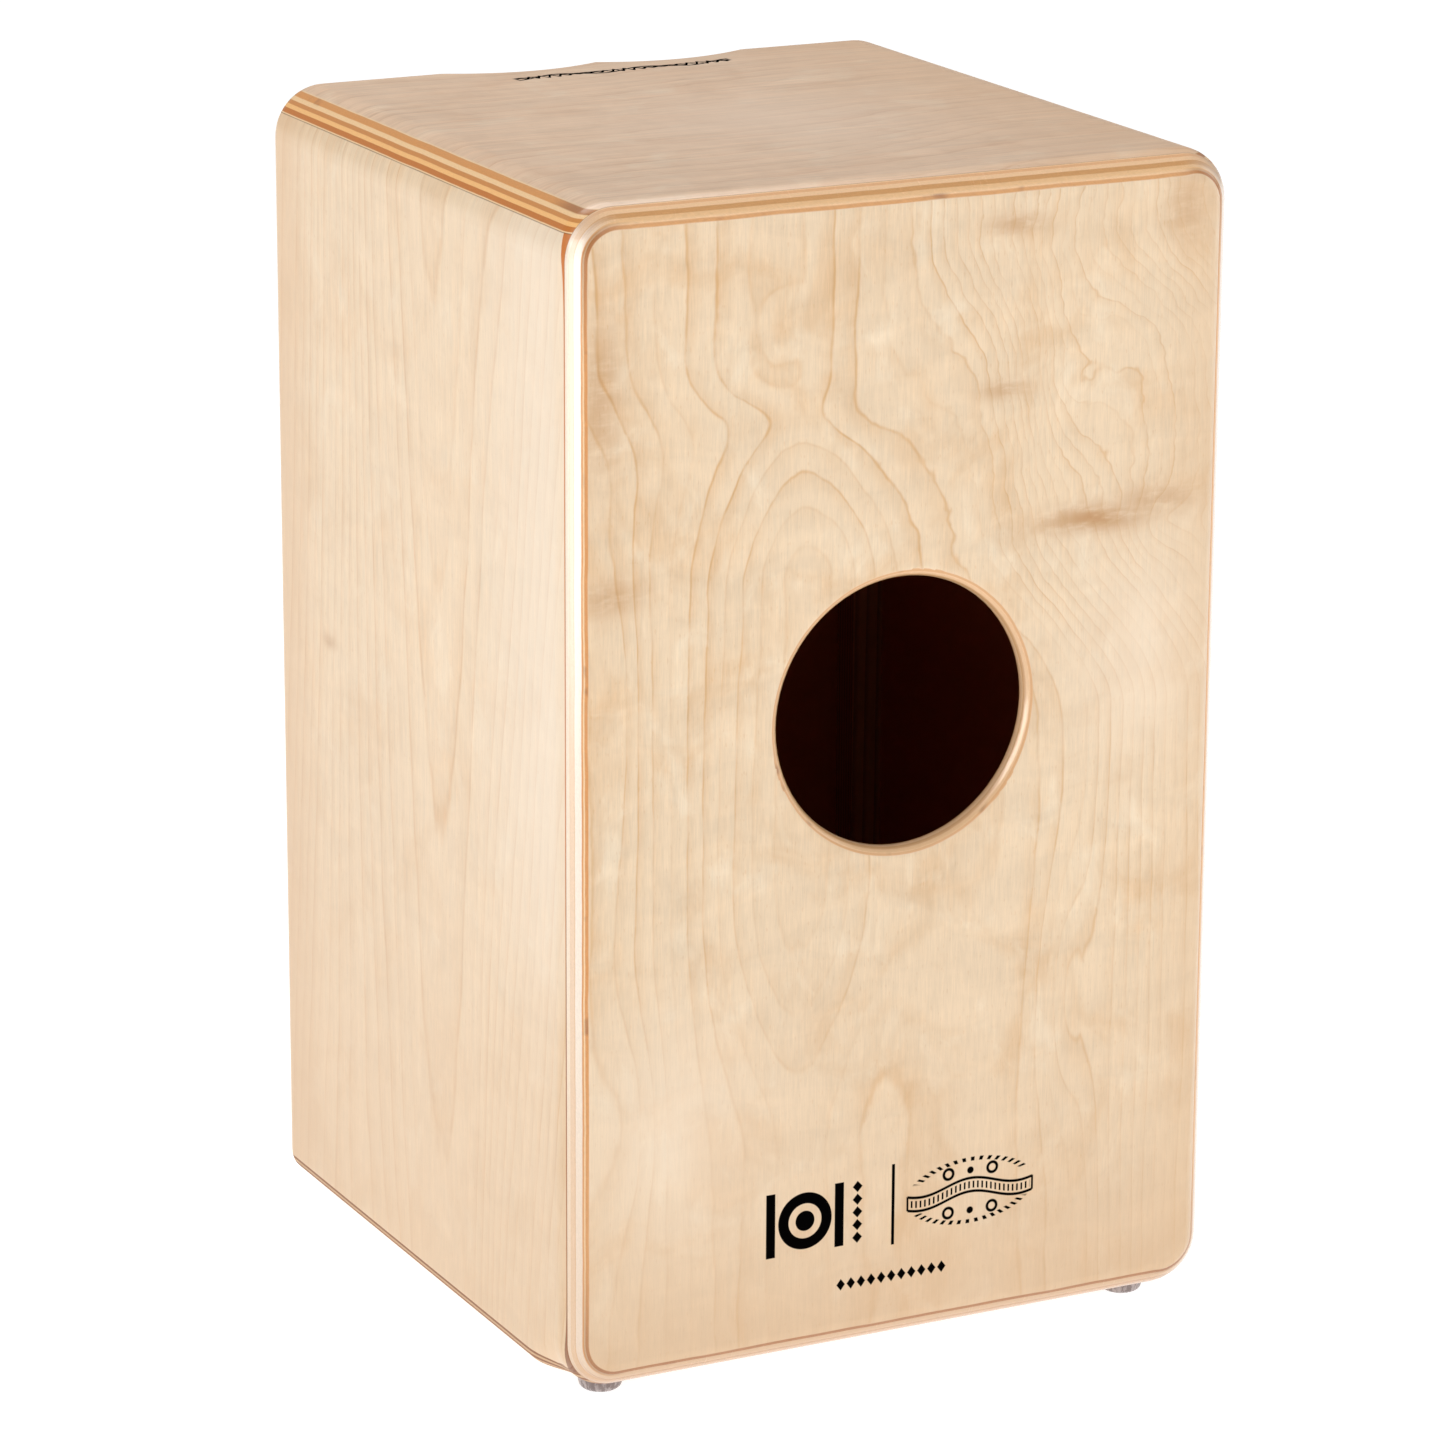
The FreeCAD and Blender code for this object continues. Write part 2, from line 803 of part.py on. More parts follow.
for label, batten_x in (
    ("front_batten_left", (f"-{inside_width}", f"-{inside_width}+batten")),
    ("front_batten_right", (f"{inside_width}-batten", inside_width)),
):
    stile_z = (f"{inside_bottom}+batten", f"{inside_top}-batten")
    stile = box(f"{label}_blank", batten_x, batten_y, stile_z)
    node(cut(label, stile, plate_drills))

rail_blank = box(
    "rail_blank",
    (f"-{inside_width}+batten", f"{inside_width}-batten"),
    (rail_front, f"{plate_back}+batten"),
    ("bobbin_rise-rail_height/2", "bobbin_rise+rail_height/2"),
)
node(cut("string_rail", rail_blank, bobbin_drills))

strip_middle = f"({plate_back}+batten+{back_front})/2"
for side, across in (("left", "-"), ("right", "")):
    for level, corner_z, inwards in (("top", inside_top, "-"), ("bottom", inside_bottom, "+")):
        corner_x = f"{across}{inside_width}"
        back_in = "+" if across == "-" else "-"
        strip = padded_body(
            f"corner_strip_{level}_{side}",
            "XZ_Plane",
            [
                (corner_x, corner_z),
                (f"{corner_x}{back_in}corner_strip", corner_z),
                (corner_x, f"{corner_z}{inwards}corner_strip"),
            ],
            f"{back_front}-({plate_back}+batten)",
        )
        node(place(strip, "0", strip_middle, "0"))

# ---------------------------------------------------------------- checks and files

doc.recompute()
for thing in doc.Objects:
    if "Invalid" in thing.State or "Error" in thing.State:
        raise RuntimeError(f"{thing.Label} failed: {thing.State}")
for piece in NODES:
    if piece.Shape.isNull() or not piece.Shape.isValid():
        raise RuntimeError(f"{piece.Label} has no valid shape")

os.makedirs("parts", exist_ok=True)
for piece in NODES:
    piece.Shape.exportStep(f"parts/{piece.Label}.step")
    bounds = piece.Shape.BoundBox
    print(
        f"{piece.Label}: {len(piece.Shape.Solids)} solid(s), {piece.Shape.Volume / 1000:.2f} cm3, "
        f"x {bounds.XMin:.2f}..{bounds.XMax:.2f}, y {bounds.YMin:.2f}..{bounds.YMax:.2f}, "
        f"z {bounds.ZMin:.2f}..{bounds.ZMax:.2f}"
    )
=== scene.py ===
import json
import math

import bpy
from mathutils import Matrix, Vector


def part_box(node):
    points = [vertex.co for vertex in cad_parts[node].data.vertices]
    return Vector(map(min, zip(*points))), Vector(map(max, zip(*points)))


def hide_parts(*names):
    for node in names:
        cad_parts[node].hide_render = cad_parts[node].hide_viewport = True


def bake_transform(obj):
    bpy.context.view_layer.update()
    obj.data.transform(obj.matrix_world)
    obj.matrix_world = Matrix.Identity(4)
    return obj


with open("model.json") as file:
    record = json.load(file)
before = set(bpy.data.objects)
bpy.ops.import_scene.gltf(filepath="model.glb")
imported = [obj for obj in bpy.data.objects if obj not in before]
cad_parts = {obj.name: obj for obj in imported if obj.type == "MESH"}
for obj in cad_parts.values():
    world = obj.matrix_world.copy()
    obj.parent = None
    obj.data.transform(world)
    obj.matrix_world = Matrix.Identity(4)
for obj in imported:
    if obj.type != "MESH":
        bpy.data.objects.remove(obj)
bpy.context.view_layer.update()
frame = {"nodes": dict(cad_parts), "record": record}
nodes = frame["nodes"]

# Positions are in metres in the row frame. Materials work in millimetres.
MM = 1000.0


# ---------------------------------------------------------------- shader graphs


class Num:
    """A number somewhere in a shader graph, with ordinary arithmetic."""

    def __init__(self, graph, socket):
        self.graph = graph
        self.socket = socket

    def __add__(self, other):
        return self.graph.math("ADD", self, other)

    def __radd__(self, other):
        return self.graph.math("ADD", other, self)

    def __sub__(self, other):
        return self.graph.math("SUBTRACT", self, other)

    def __rsub__(self, other):
        return self.graph.math("SUBTRACT", other, self)

    def __mul__(self, other):
        return self.graph.math("MULTIPLY", self, other)

    def __rmul__(self, other):
        return self.graph.math("MULTIPLY", other, self)

    def __truediv__(self, other):
        return self.graph.math("DIVIDE", self, other)

    def __neg__(self):
        return self.graph.math("MULTIPLY", self, -1.0)


class Graph:
    """A material made from code, one node at a time."""

    def __init__(self, name):
        self.material = bpy.data.materials.new(name)
        self.material.use_nodes = True
        self.tree = self.material.node_tree
        self.tree.nodes.clear()

    def node(self, kind, **settings):
        made = self.tree.nodes.new(kind)
        for name, setting in settings.items():
            setattr(made, name, setting)
        return made

    def feed(self, socket, source):
        if isinstance(source, Num):
            source = source.socket
        if isinstance(source, bpy.types.NodeSocket):
            self.tree.links.new(source, socket)
        else:
            socket.default_value = source

    def math(self, operation, *sources):
        made = self.node("ShaderNodeMath", operation=operation)
        for socket, source in zip(made.inputs, sources):
            self.feed(socket, source)
        return Num(self, made.outputs[0])

    def millimetres(self):
        """The point's place in the row frame at rest, as x, y and z in millimetres."""
        place = self.node("ShaderNodeTexCoord")
        split = self.node("ShaderNodeSeparateXYZ")
        self.feed(split.inputs[0], place.outputs["Object"])
        return [Num(self, output) * MM for output in split.outputs]

    def vector(self, x, y, z):
        made = self.node("ShaderNodeCombineXYZ")
        for socket, source in zip(made.inputs, (x, y, z)):
            self.feed(socket, source)
        return made.outputs[0]

    def noise(self, x, y, z=0.0, detail=2.0, roughness=0.5, distortion=0.0):
        """Smooth noise about 0.5. One unit of x, y or z is about one bump."""
        made = self.node("ShaderNodeTexNoise")
        self.feed(made.inputs["Vector"], self.vector(x, y, z))
        self.feed(made.inputs["Scale"], 1.0)
        self.feed(made.inputs["Detail"], detail)
        self.feed(made.inputs["Roughness"], roughness)
        self.feed(made.inputs["Distortion"], distortion)
        return Num(self, made.outputs[0])

    def random(self, number):
        """A number from 0 to 1 that is the same for every point with the same whole number."""
        made = self.node("ShaderNodeTexWhiteNoise", noise_dimensions="1D")
        self.feed(made.inputs["W"], number)
        return Num(self, made.outputs["Value"])

    def rise(self, value, low, high):
        """0 below low, 1 above high and smooth between them."""
        made = self.node("ShaderNodeMapRange", interpolation_type="SMOOTHSTEP")
        self.feed(made.inputs["Value"], value)
        self.feed(made.inputs["From Min"], low)
        self.feed(made.inputs["From Max"], high)
        return Num(self, made.outputs[0])

    def fall(self, value, low, high):
        """1 below low, 0 above high and smooth between them."""
        return 1.0 - self.rise(value, low, high)

    def hill(self, value, middle, half_width):
        """1 at middle, falling away to both sides."""
        off = (value - middle) / half_width
        return self.math("EXPONENT", -(off * off))

    def mix(self, factor, below, above, blend="MIX"):
        made = self.node("ShaderNodeMix", data_type="RGBA", blend_type=blend)
        self.feed(made.inputs["Factor"], factor)
        self.feed(made.inputs[6], below)
        self.feed(made.inputs[7], above)
        return made.outputs[2]

    def shade(self, colour, dim):
        """The colour made lighter or darker by a number about 1."""
        return self.mix(1.0, colour, self.vector(dim, dim, dim), "MULTIPLY")

    def ramp(self, factor, stops):
        """A colour ramp from (position, colour) stops."""
        made = self.node("ShaderNodeValToRGB")
        elements = made.color_ramp.elements
        while len(elements) < len(stops):
            elements.new(0.5)
        for element, (position, colour) in zip(elements, stops):
            element.position = position
            element.color = colour
        self.feed(made.inputs[0], factor)
        return made.outputs[0]

    def finish(self, colour, roughness, height=None, relief=0.1, **settings):
        """Ends the graph in a principled shader. relief is the bump's depth in millimetres."""
        shader = self.node("ShaderNodeBsdfPrincipled")
        self.feed(shader.inputs["Base Color"], colour)
        self.feed(shader.inputs["Roughness"], roughness)
        for name, setting in settings.items():
            self.feed(shader.inputs[name.replace("_", " ")], setting)
        if height is not None:
            bump = self.node("ShaderNodeBump")
            self.feed(bump.inputs["Height"], height)
            bump.inputs["Distance"].default_value = relief / MM
            self.feed(shader.inputs["Normal"], bump.outputs[0])
        output = self.node("ShaderNodeOutputMaterial")
        self.feed(output.inputs[0], shader.outputs[0])
        return self.material


def srgb(red, green, blue):
    """A colour as seen on a screen, 0 to 255, as the linear colour the shaders use."""
    linear = []
    for part in (red / 255, green / 255, blue / 255):
        linear.append(part / 12.92 if part <= 0.04045 else ((part + 0.055) / 1.055) ** 2.4)
    return (*linear, 1.0)


# ---------------------------------------------------------------- birch

PALE = srgb(236, 210, 177)
RING = srgb(210, 158, 94)
PLY_LIGHT = srgb(246, 212, 164)
PLY_ORANGE = srgb(218, 146, 76)
PLY_DARK = srgb(206, 120, 50)
BURNT = srgb(124, 66, 34)
GLUE = srgb(128, 86, 52)
INSIDE = srgb(184, 92, 46)
INK = srgb(5, 4, 4)


def bow(g, across, half_flat, spacing):
    """A ring count that is flat about 0 and grows evenly to both sides of it."""
    return g.math("SQRT", half_flat * half_flat + across * across) / spacing


def bump(g, across, along, middle_across, middle_along, half_wide, half_long, rings):
    """A blister in the wood that bends the rings round it. rings is how far it moves them."""
    wide = g.hill(across, middle_across, half_wide)
    return rings * wide * g.hill(along, middle_along, half_long)


def wander(g, across, along, seed, broad=0.9, small=0.10):
    """The rings' slow drift and their small unevenness, in rings."""
    drift = g.noise(across / 62.0, along / 150.0, seed, 1.0, 0.45) - 0.5
    tremble = g.noise(across / 9.0, along / 22.0, seed + 3.0, 2.0, 0.5) - 0.5
    return 2.0 * broad * drift + 2.0 * small * tremble


def ring_lines(g, count):
    """Thin late-wood lines, no two alike, each with a soft haze on the side it grew from."""
    part = g.math("FRACT", count)
    bold = 0.25 + 0.75 * g.random(g.math("FLOOR", count))
    line = g.hill(part, 0.90, 0.055)
    haze = g.rise(part, 0.20, 0.92) * g.fall(part, 0.88, 0.98)
    return bold * (0.64 * line + 0.46 * haze)


def veneer(g, across, along, count, pale=PALE, ring=RING, strength=0.6, seed=0.0, figure=1.0):
    """A lacquered birch face: (colour, height), with fibres along the grain, growth rings,
    soft mottling as strong as figure says, and small flecks."""
    fine = g.noise(across / 0.65, along / 12.0, seed, 2.0, 0.65)
    coarse = g.noise(across / 2.4, along / 46.0, seed + 7.0, 3.0, 0.6)
    mottle = g.noise(across / 30.0, along / 16.0, seed + 11.0, 4.0, 0.55, 0.8)
    cloud = g.noise(across / 110.0, along / 130.0, seed + 17.0, 1.0, 0.5)
    broken = g.rise(g.noise(across / 17.0, along / 34.0, seed + 19.0, 3.0, 0.6), 0.28, 0.62)
    lines = ring_lines(g, count) * strength * (0.25 + 0.75 * broken)
    tone = g.mix(lines, pale, ring)
    fibres = 0.26 * (fine - 0.5) + 0.15 * (coarse - 0.5)
    dim = 1.0 + fibres + 0.24 * figure * (mottle - 0.5) + 0.08 * (cloud - 0.5)
    warm = g.rise(g.noise(across / 34.0, along / 44.0, seed + 23.0, 4.0, 0.6, 0.6), 0.46, 0.72)
    tone = g.mix(warm * 0.32 * figure, tone, ring)
    lustre = g.rise(g.noise(across / 20.0, along / 30.0, seed + 29.0, 4.0, 0.6, 0.6), 0.52, 0.74)
    tone = g.mix(lustre * 0.40 * figure, tone, srgb(250, 234, 208))
    flecks = g.rise(g.noise(across / 0.9, along / 3.2, seed + 31.0, 0.0, 0.5), 0.70, 0.82)
    tone = g.mix(flecks * 0.20, tone, RING)
    tone = g.shade(tone, dim)
    height = 0.6 * fine + 0.4 * coarse - 0.25 * lines
    return tone, height


def plies(g, depth, across, along, bands):
    """The plies' (colour, grain) at a depth below a panel's face. bands are (depth where it
    ends, colour), in millimetres."""
    reach = bands[-1][0]
    waver = g.noise(along / 23.0, across / 31.0, 5.0, 2.0, 0.5) - 0.5
    level = (depth + 0.35 * waver) / reach
    blur = 0.07 / reach
    stops = []
    start = 0.0
    for end, colour in bands:
        stops.append((min(start / reach + blur, 1.0), colour))
        stops.append((max(end / reach - blur, 0.0), colour))
        start = end
    tone = g.ramp(level, stops)
    grain = g.noise(depth / 0.22, (across + along) / 3.0, 2.0, 2.0, 0.6)
    pores = g.noise(depth / 0.5, (across - along) / 0.8, 6.0, 1.0, 0.6)
    dim = 1.0 + 0.22 * (grain - 0.5) + 0.16 * (pores - 0.5)
    return g.shade(tone, dim), grain


def box_mm(name):
    low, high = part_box(name)
    return [value * MM for value in low], [value * MM for value in high]


BACK_LOW, BACK_HIGH = box_mm("back_panel")
_, TOP_HIGH = box_mm("top_panel")
SIDE_LOW, SIDE_HIGH = box_mm("right_side_panel")
FRONT_LOW, _ = box_mm("front_plate")
BOTTOM_LOW, _ = box_mm("bottom_panel")


def hole_rise():
    """The height of the sound hole's middle, from the opening that the record states."""
    for opening in frame["record"]["physics"]["openings"]:
        if opening["name"] == "sound_hole":
            low, high = opening["box_m"]
            return (low[2] + high[2]) / 2 * MM
    raise ValueError("the record states no sound hole")


HOLE_RISE = hole_rise()


def lacquered(g, colour, rough, height, ink=0.0, gloss=0.0):
    """Ends a birch material in clear lacquer, thicker and smoother where gloss is 1. ink is
    where the print lies, which keeps no shine."""
    bare = 1.0 - ink
    return g.finish(
        colour,
        rough - 0.10 * gloss,
        height,
        0.03,
        Coat_Weight=(0.15 + 0.85 * gloss) * bare,
        Coat_Roughness=0.16,
        Specular_IOR_Level=0.42 * bare,
    )


# blisters in the back's figure: middle x and z, half width and half height in millimetres, and
# how many rings each one pushes aside
BACK_BLISTERS = (
    (56.0, 408.0, 46.0, 13.0, 1.1),
    (57.0, 446.0, 8.0, 14.0, 1.3),
    (-72.0, 414.0, 24.0, 46.0, 5.6),
    (-118.0, 346.0, 15.0, 13.0, 2.6),
    (-80.0, 150.0, 14.0, 52.0, 2.6),
    (128.0, 300.0, 9.0, 60.0, 1.0),
    (124.0, 120.0, 16.0, 50.0, 1.5),
)


def back_rings(g, x, z):
    """The back's figure: two long ovals of rings, one over the other, with tight bent rings to
    their right."""
    lean = 35.0 * g.fall(z, 420.0, 476.0) + 45.0 * g.fall(z, 270.0, 352.0)
    lean = lean * g.fall(x, -60.0, 25.0)
    middle = 46.0 + 16.0 * g.rise(z, 385.0, 440.0)
    count = bow(g, x + lean - middle, 17.0, 11.0)
    count = count + g.math("MAXIMUM", -6.0 - x - lean, 0.0) / 11.0
    valley = g.rise(z, 96.0, 215.0) * g.fall(z, 340.0, 402.0) * g.hill(x, 44.0, 52.0)
    count = count - 3.0 * valley
    for blister in BACK_BLISTERS:
        count = count + bump(g, x, z, *blister)
    curl = g.noise(x / 17.0, z / 14.0, 33.0, 2.0, 0.5) - 0.5
    count = count + 1.5 * curl * g.fall(x, -70.0, 40.0) * g.rise(z, 270.0, 380.0)
    return count + wander(g, x, z, 0.0, 0.7, 0.14)


def stain(g, x, z, middle_x, middle_z, half_wide, half_high, seed):
    """A soft uneven mark lying across the grain."""
    drift = 5.0 * (g.noise(x / 22.0, seed, 0.0, 2.0, 0.5) - 0.5)
    mark = g.hill(x, middle_x, half_wide) * g.hill(z + drift, middle_z, half_high)
    return mark * g.rise(g.noise(x / 14.0, z / 5.0, seed, 3.0, 0.6), 0.10, 0.60)


# stains on the back: middle x and z, half width and half height in millimetres, and a seed
MAIN_STAIN = (-88.0, 352.0, 27.0, 6.0, 41.0)
FAINT_STAINS = (
    (-118.0, 357.0, 24.0, 7.0, 43.0),
    (132.0, 343.0, 14.0, 8.0, 45.0),
    (-44.0, 410.0, 12.0, 4.0, 47.0),
    (-48.0, 477.0, 14.0, 5.0, 49.0),
    (136.0, 425.0, 9.0, 32.0, 53.0),
    (-128.0, 478.0, 10.0, 16.0, 55.0),
)

# the back's plies at its top edge and round the sound hole, down its sides, and at its foot,
# where painted shade darkens them
BACK_TOP_PLIES = (
    (0.45, PALE),
    (0.85, srgb(218, 158, 98)),
    (2.00, srgb(242, 196, 144)),
    (3.20, srgb(218, 162, 104)),
    (4.60, srgb(252, 208, 162)),
    (5.70, srgb(240, 184, 134)),
    (6.50, srgb(252, 208, 162)),
)
BACK_SIDE_PLIES = (
    (0.45, PALE),
    (0.92, PLY_ORANGE),
    (1.12, PLY_LIGHT),
    (1.45, PLY_ORANGE),
    (3.00, srgb(245, 228, 210)),
    (3.20, srgb(226, 184, 146)),
    (4.60, srgb(236, 204, 172)),
    (6.50, srgb(245, 224, 200)),
)
BACK_SHADED_LOW_PLIES = (
    (0.45, PALE),
    (0.95, srgb(160, 94, 50)),
    (2.40, srgb(214, 180, 144)),
    (2.70, srgb(172, 116, 72)),
    (4.80, srgb(196, 150, 106)),
    (6.50, srgb(180, 132, 88)),
)

# the back's flat face ends where its rounded edge begins, this far from the panel's middle
FLAT_HALF_WIDTH = 124.0
FLAT_HALF_HEIGHT = 220.0
# the edge of the sound hole's wall and round-over fades into the face between these radii
RIM_INSIDE = 66.0
RIM_OUTSIDE = 70.0


def back_material():
    g = Graph("birch_back")
    x, y, z = g.millimetres()
    depth = BACK_HIGH[1] - y
    strength = 0.48 + 0.30 * g.rise(z, 120.0, 330.0)
    strength = strength * (1.0 - 0.30 * g.fall(x, -70.0, 40.0) * g.rise(z, 230.0, 330.0))
    face, height = veneer(g, x, z, back_rings(g, x, z), strength=strength)
    stained = stain(g, x, z, *MAIN_STAIN)
    for place in FAINT_STAINS:
        stained = g.math("MAXIMUM", stained, stain(g, x, z, *place) * 0.6)
    face = g.mix(stained * 0.95, face, srgb(190, 138, 82))
    # painted shade: the face is made darker towards the bottom, and darker still near the foot
    low_painted_shade = g.fall(z, 0.0, 220.0) * 0.40
    face = g.mix(low_painted_shade, face, srgb(222, 190, 156))
    foot_painted_shade = g.fall(z, 0.0, 95.0) * 0.34
    face = g.mix(foot_painted_shade, face, srgb(214, 174, 132))
    # painted light: paler patches on the face, one high on the right and one low on the left
    painted_light_patch = g.hill(x, -112.0, 34.0) * g.hill(z, 292.0, 44.0) * 0.5
    low_painted_light = g.hill(x, 104.0, 40.0) * g.hill(z, 118.0, 50.0) * 0.45
    painted_light_patch = g.math("MAXIMUM", painted_light_patch, low_painted_light)
    face = g.mix(painted_light_patch, face, srgb(252, 232, 208))
    right_warmth = g.fall(x, -142.0, -112.0) * 0.35
    face = g.mix(right_warmth, face, srgb(224, 188, 148))
    ink = back_marks(g, x, z)
    face = g.mix(ink, face, INK)
    # the plies show dark end grain above and below, darkened further below as painted shade, and
    # pale long grain at the sides
    middle_z = (BACK_LOW[2] + BACK_HIGH[2]) / 2
    off_x = g.math("ABSOLUTE", x)
    off_z = g.math("ABSOLUTE", z - middle_z)
    out_x = g.math("MAXIMUM", off_x - FLAT_HALF_WIDTH, 0.01)
    out_z = g.math("MAXIMUM", off_z - FLAT_HALF_HEIGHT, 0.01)
    beside = out_x * out_x / (out_x * out_x + out_z * out_z)
    hole_off = z - HOLE_RISE
    hole_radius = g.math("SQRT", x * x + hole_off * hole_off)
    rim = g.fall(hole_radius, RIM_INSIDE, RIM_OUTSIDE)
    beside = beside * (1.0 - rim)
    above = (1.0 - beside) * g.math("MAXIMUM", rim, g.rise(z, 200.0, 300.0))
    far = beside * g.fall(x, -20.0, 20.0)
    # sanding has left the face ply thinner over the top and thicker down the right edge
    ply_depth = depth + 0.25 * above - 0.90 * far
    top_edge, grain = plies(g, ply_depth, x, z, BACK_TOP_PLIES)
    side_edge, _ = plies(g, ply_depth, x, z, BACK_SIDE_PLIES)
    # the set at the foot is darkened as painted shade
    shaded_low_edge, _ = plies(g, ply_depth, x, z, BACK_SHADED_LOW_PLIES)
    ends = g.mix(1.0 - above, top_edge, shaded_low_edge)
    edge = g.mix(beside, ends, side_edge)
    # painted shade: the edge bands are darkened towards the bottom
    edge = g.mix(g.fall(z, 50.0, 190.0) * 0.30, edge, srgb(214, 170, 122))
    edge = g.mix(rim * 0.40, edge, srgb(230, 190, 150))
    burn = g.rise(g.noise(x / 16.0, z / 16.0, 51.0, 2.0, 0.5), 0.60, 0.72)
    burn = burn * g.rise(ply_depth, 0.4, 0.6) * g.fall(ply_depth, 1.0, 1.2)
    corner = g.rise(off_x, 118.0, 140.0) * g.rise(off_z, 178.0, 232.0)
    corner = corner * g.rise(ply_depth, 0.4, 0.55) * g.fall(ply_depth, 1.1, 1.4)
    edge = g.mix(g.math("MAXIMUM", burn * 0.55, corner * 0.45), edge, BURNT)
    colour = g.mix(g.rise(ply_depth, 0.38, 0.48), face, edge)
    colour = g.mix(g.rise(depth, 5.82, 5.92) * 0.7 * (1.0 - rim), colour, GLUE)
    colour = g.mix(g.rise(depth, 5.97, 5.99), colour, INSIDE)
    rounding = g.rise(depth, 0.3, 0.9) * g.fall(depth, 5.9, 5.97)
    rough = 0.36 + 0.12 * (height - 0.5) + 0.04 * rounding * (grain - 0.5)
    return lacquered(g, colour, rough, height, ink, rounding)


def back_marks(g, x, z):
    """Printed generic marks low on the back: a drum sign between two bars, a column and a row
    of lozenges, an upright rule and a fine oval rosette."""

    def within(value):
        return g.fall(value, -0.12, 0.12)

    def size(value):
        return g.math("ABSOLUTE", value)

    def both(first, second):
        return g.math("MULTIPLY", first, second)

    def either(*marks):
        whole = marks[0]
        for mark in marks[1:]:
            whole = g.math("MAXIMUM", whole, mark)
        return whole

    def block(u, v, half_wide, half_high):
        return both(within(size(u) - half_wide), within(size(v) - half_high))

    def lozenges(along, across, step, half_long, half_across, reach):
        near = step / 2 - g.math("PINGPONG", along + step / 2, step / 2)
        slope = size(near) / half_long + size(across) / half_across
        return both(g.fall(slope, 0.9, 1.1), within(size(along) - reach))

    # the drum sign
    u, v = x - 43.0, z - 68.0
    out = g.math("SQRT", u * u + v * v)
    ring = both(within(out - 12.4), 1.0 - within(out - 7.6))
    ring = either(ring, within(out - 4.4))
    bars = within(size(size(u) - 15.9) - 2.1)
    sign = either(ring, both(bars, within(size(v) - 14.0)))
    # the column, the rule and the row
    column = lozenges(z - 67.8, x - 18.6, 5.6, 2.5, 2.3, 14.0)
    rule = block(x - 1.9, z - 68.3, 0.72, 17.8)
    row = lozenges(x - 2.3, z - 36.8, 4.75, 2.0, 2.6, 26.0)
    # the rosette
    u, v = (x + 34.6) / 30.6, (z - 68.6) / 14.8
    out = g.math("SQRT", u * u + v * v)
    turn = g.math("ARCTAN2", v, u)
    beads = g.rise(g.math("SINE", turn * 44.0), -0.1, 0.5)
    outline = both(g.fall(size(out - 0.93), 0.045, 0.075), beads)
    outline = both(outline, g.rise(size(v), 0.38, 0.48))
    sweep = v - 0.16 * g.math("COSINE", u * 4.2)
    band = both(g.fall(size(size(sweep) - 0.20), 0.028, 0.056), within((size(u) - 0.97) * 12.0))
    hatch = g.rise(g.math("SINE", u * 92.0), 0.1, 0.5)
    hatch = both(hatch, g.fall(size(sweep), 0.09, 0.12))
    hatch = both(hatch, within((size(u) - 0.93) * 12.0))
    ends = both(g.fall(size(size(u) - 0.97), 0.010, 0.022), g.fall(size(sweep), 0.20, 0.23))
    # 4.3 is the square of the oval's length over its height, so these come out round
    curl_u, curl_v = size(u) - 0.34, size(v) - 0.58
    curls = g.math("SQRT", curl_u * curl_u * 4.3 + curl_v * curl_v)
    curls = g.fall(size(curls - 0.15), 0.03, 0.06)
    dot_v = size(v) - 0.60
    dot = g.fall(g.math("SQRT", u * u * 4.3 + dot_v * dot_v), 0.09, 0.12)
    rosette = either(outline, band, hatch, ends, curls, dot)
    return either(sign, column, rule, row, rosette)


def side_rings(g, y, z, sided):
    """Tall nested rings that close downwards behind the panel's middle, between leaning ones."""
    low = z - 300.0
    lean = low * (0.09 * g.rise(y, 45.0, 95.0) + 0.15 * g.fall(y, -115.0, -15.0))
    off = y - lean - 2.8 * sided - 5.0 * (g.noise(z / 90.0, sided, 0.0, 1.0, 0.5) - 0.5)
    count = bow(g, off, 34.0, 8.0) - z / 132.0
    return count + wander(g, y, z / 3.0, sided, 0.8, 0.16)


# the side's plies where its bottom edge is rounded
SIDE_LOW_PLIES = (
    (3.90, PALE),
    (4.30, srgb(148, 92, 52)),
    (5.00, srgb(206, 164, 118)),
    (5.80, srgb(150, 96, 56)),
    (7.40, srgb(206, 164, 118)),
    (8.50, srgb(166, 112, 70)),
)


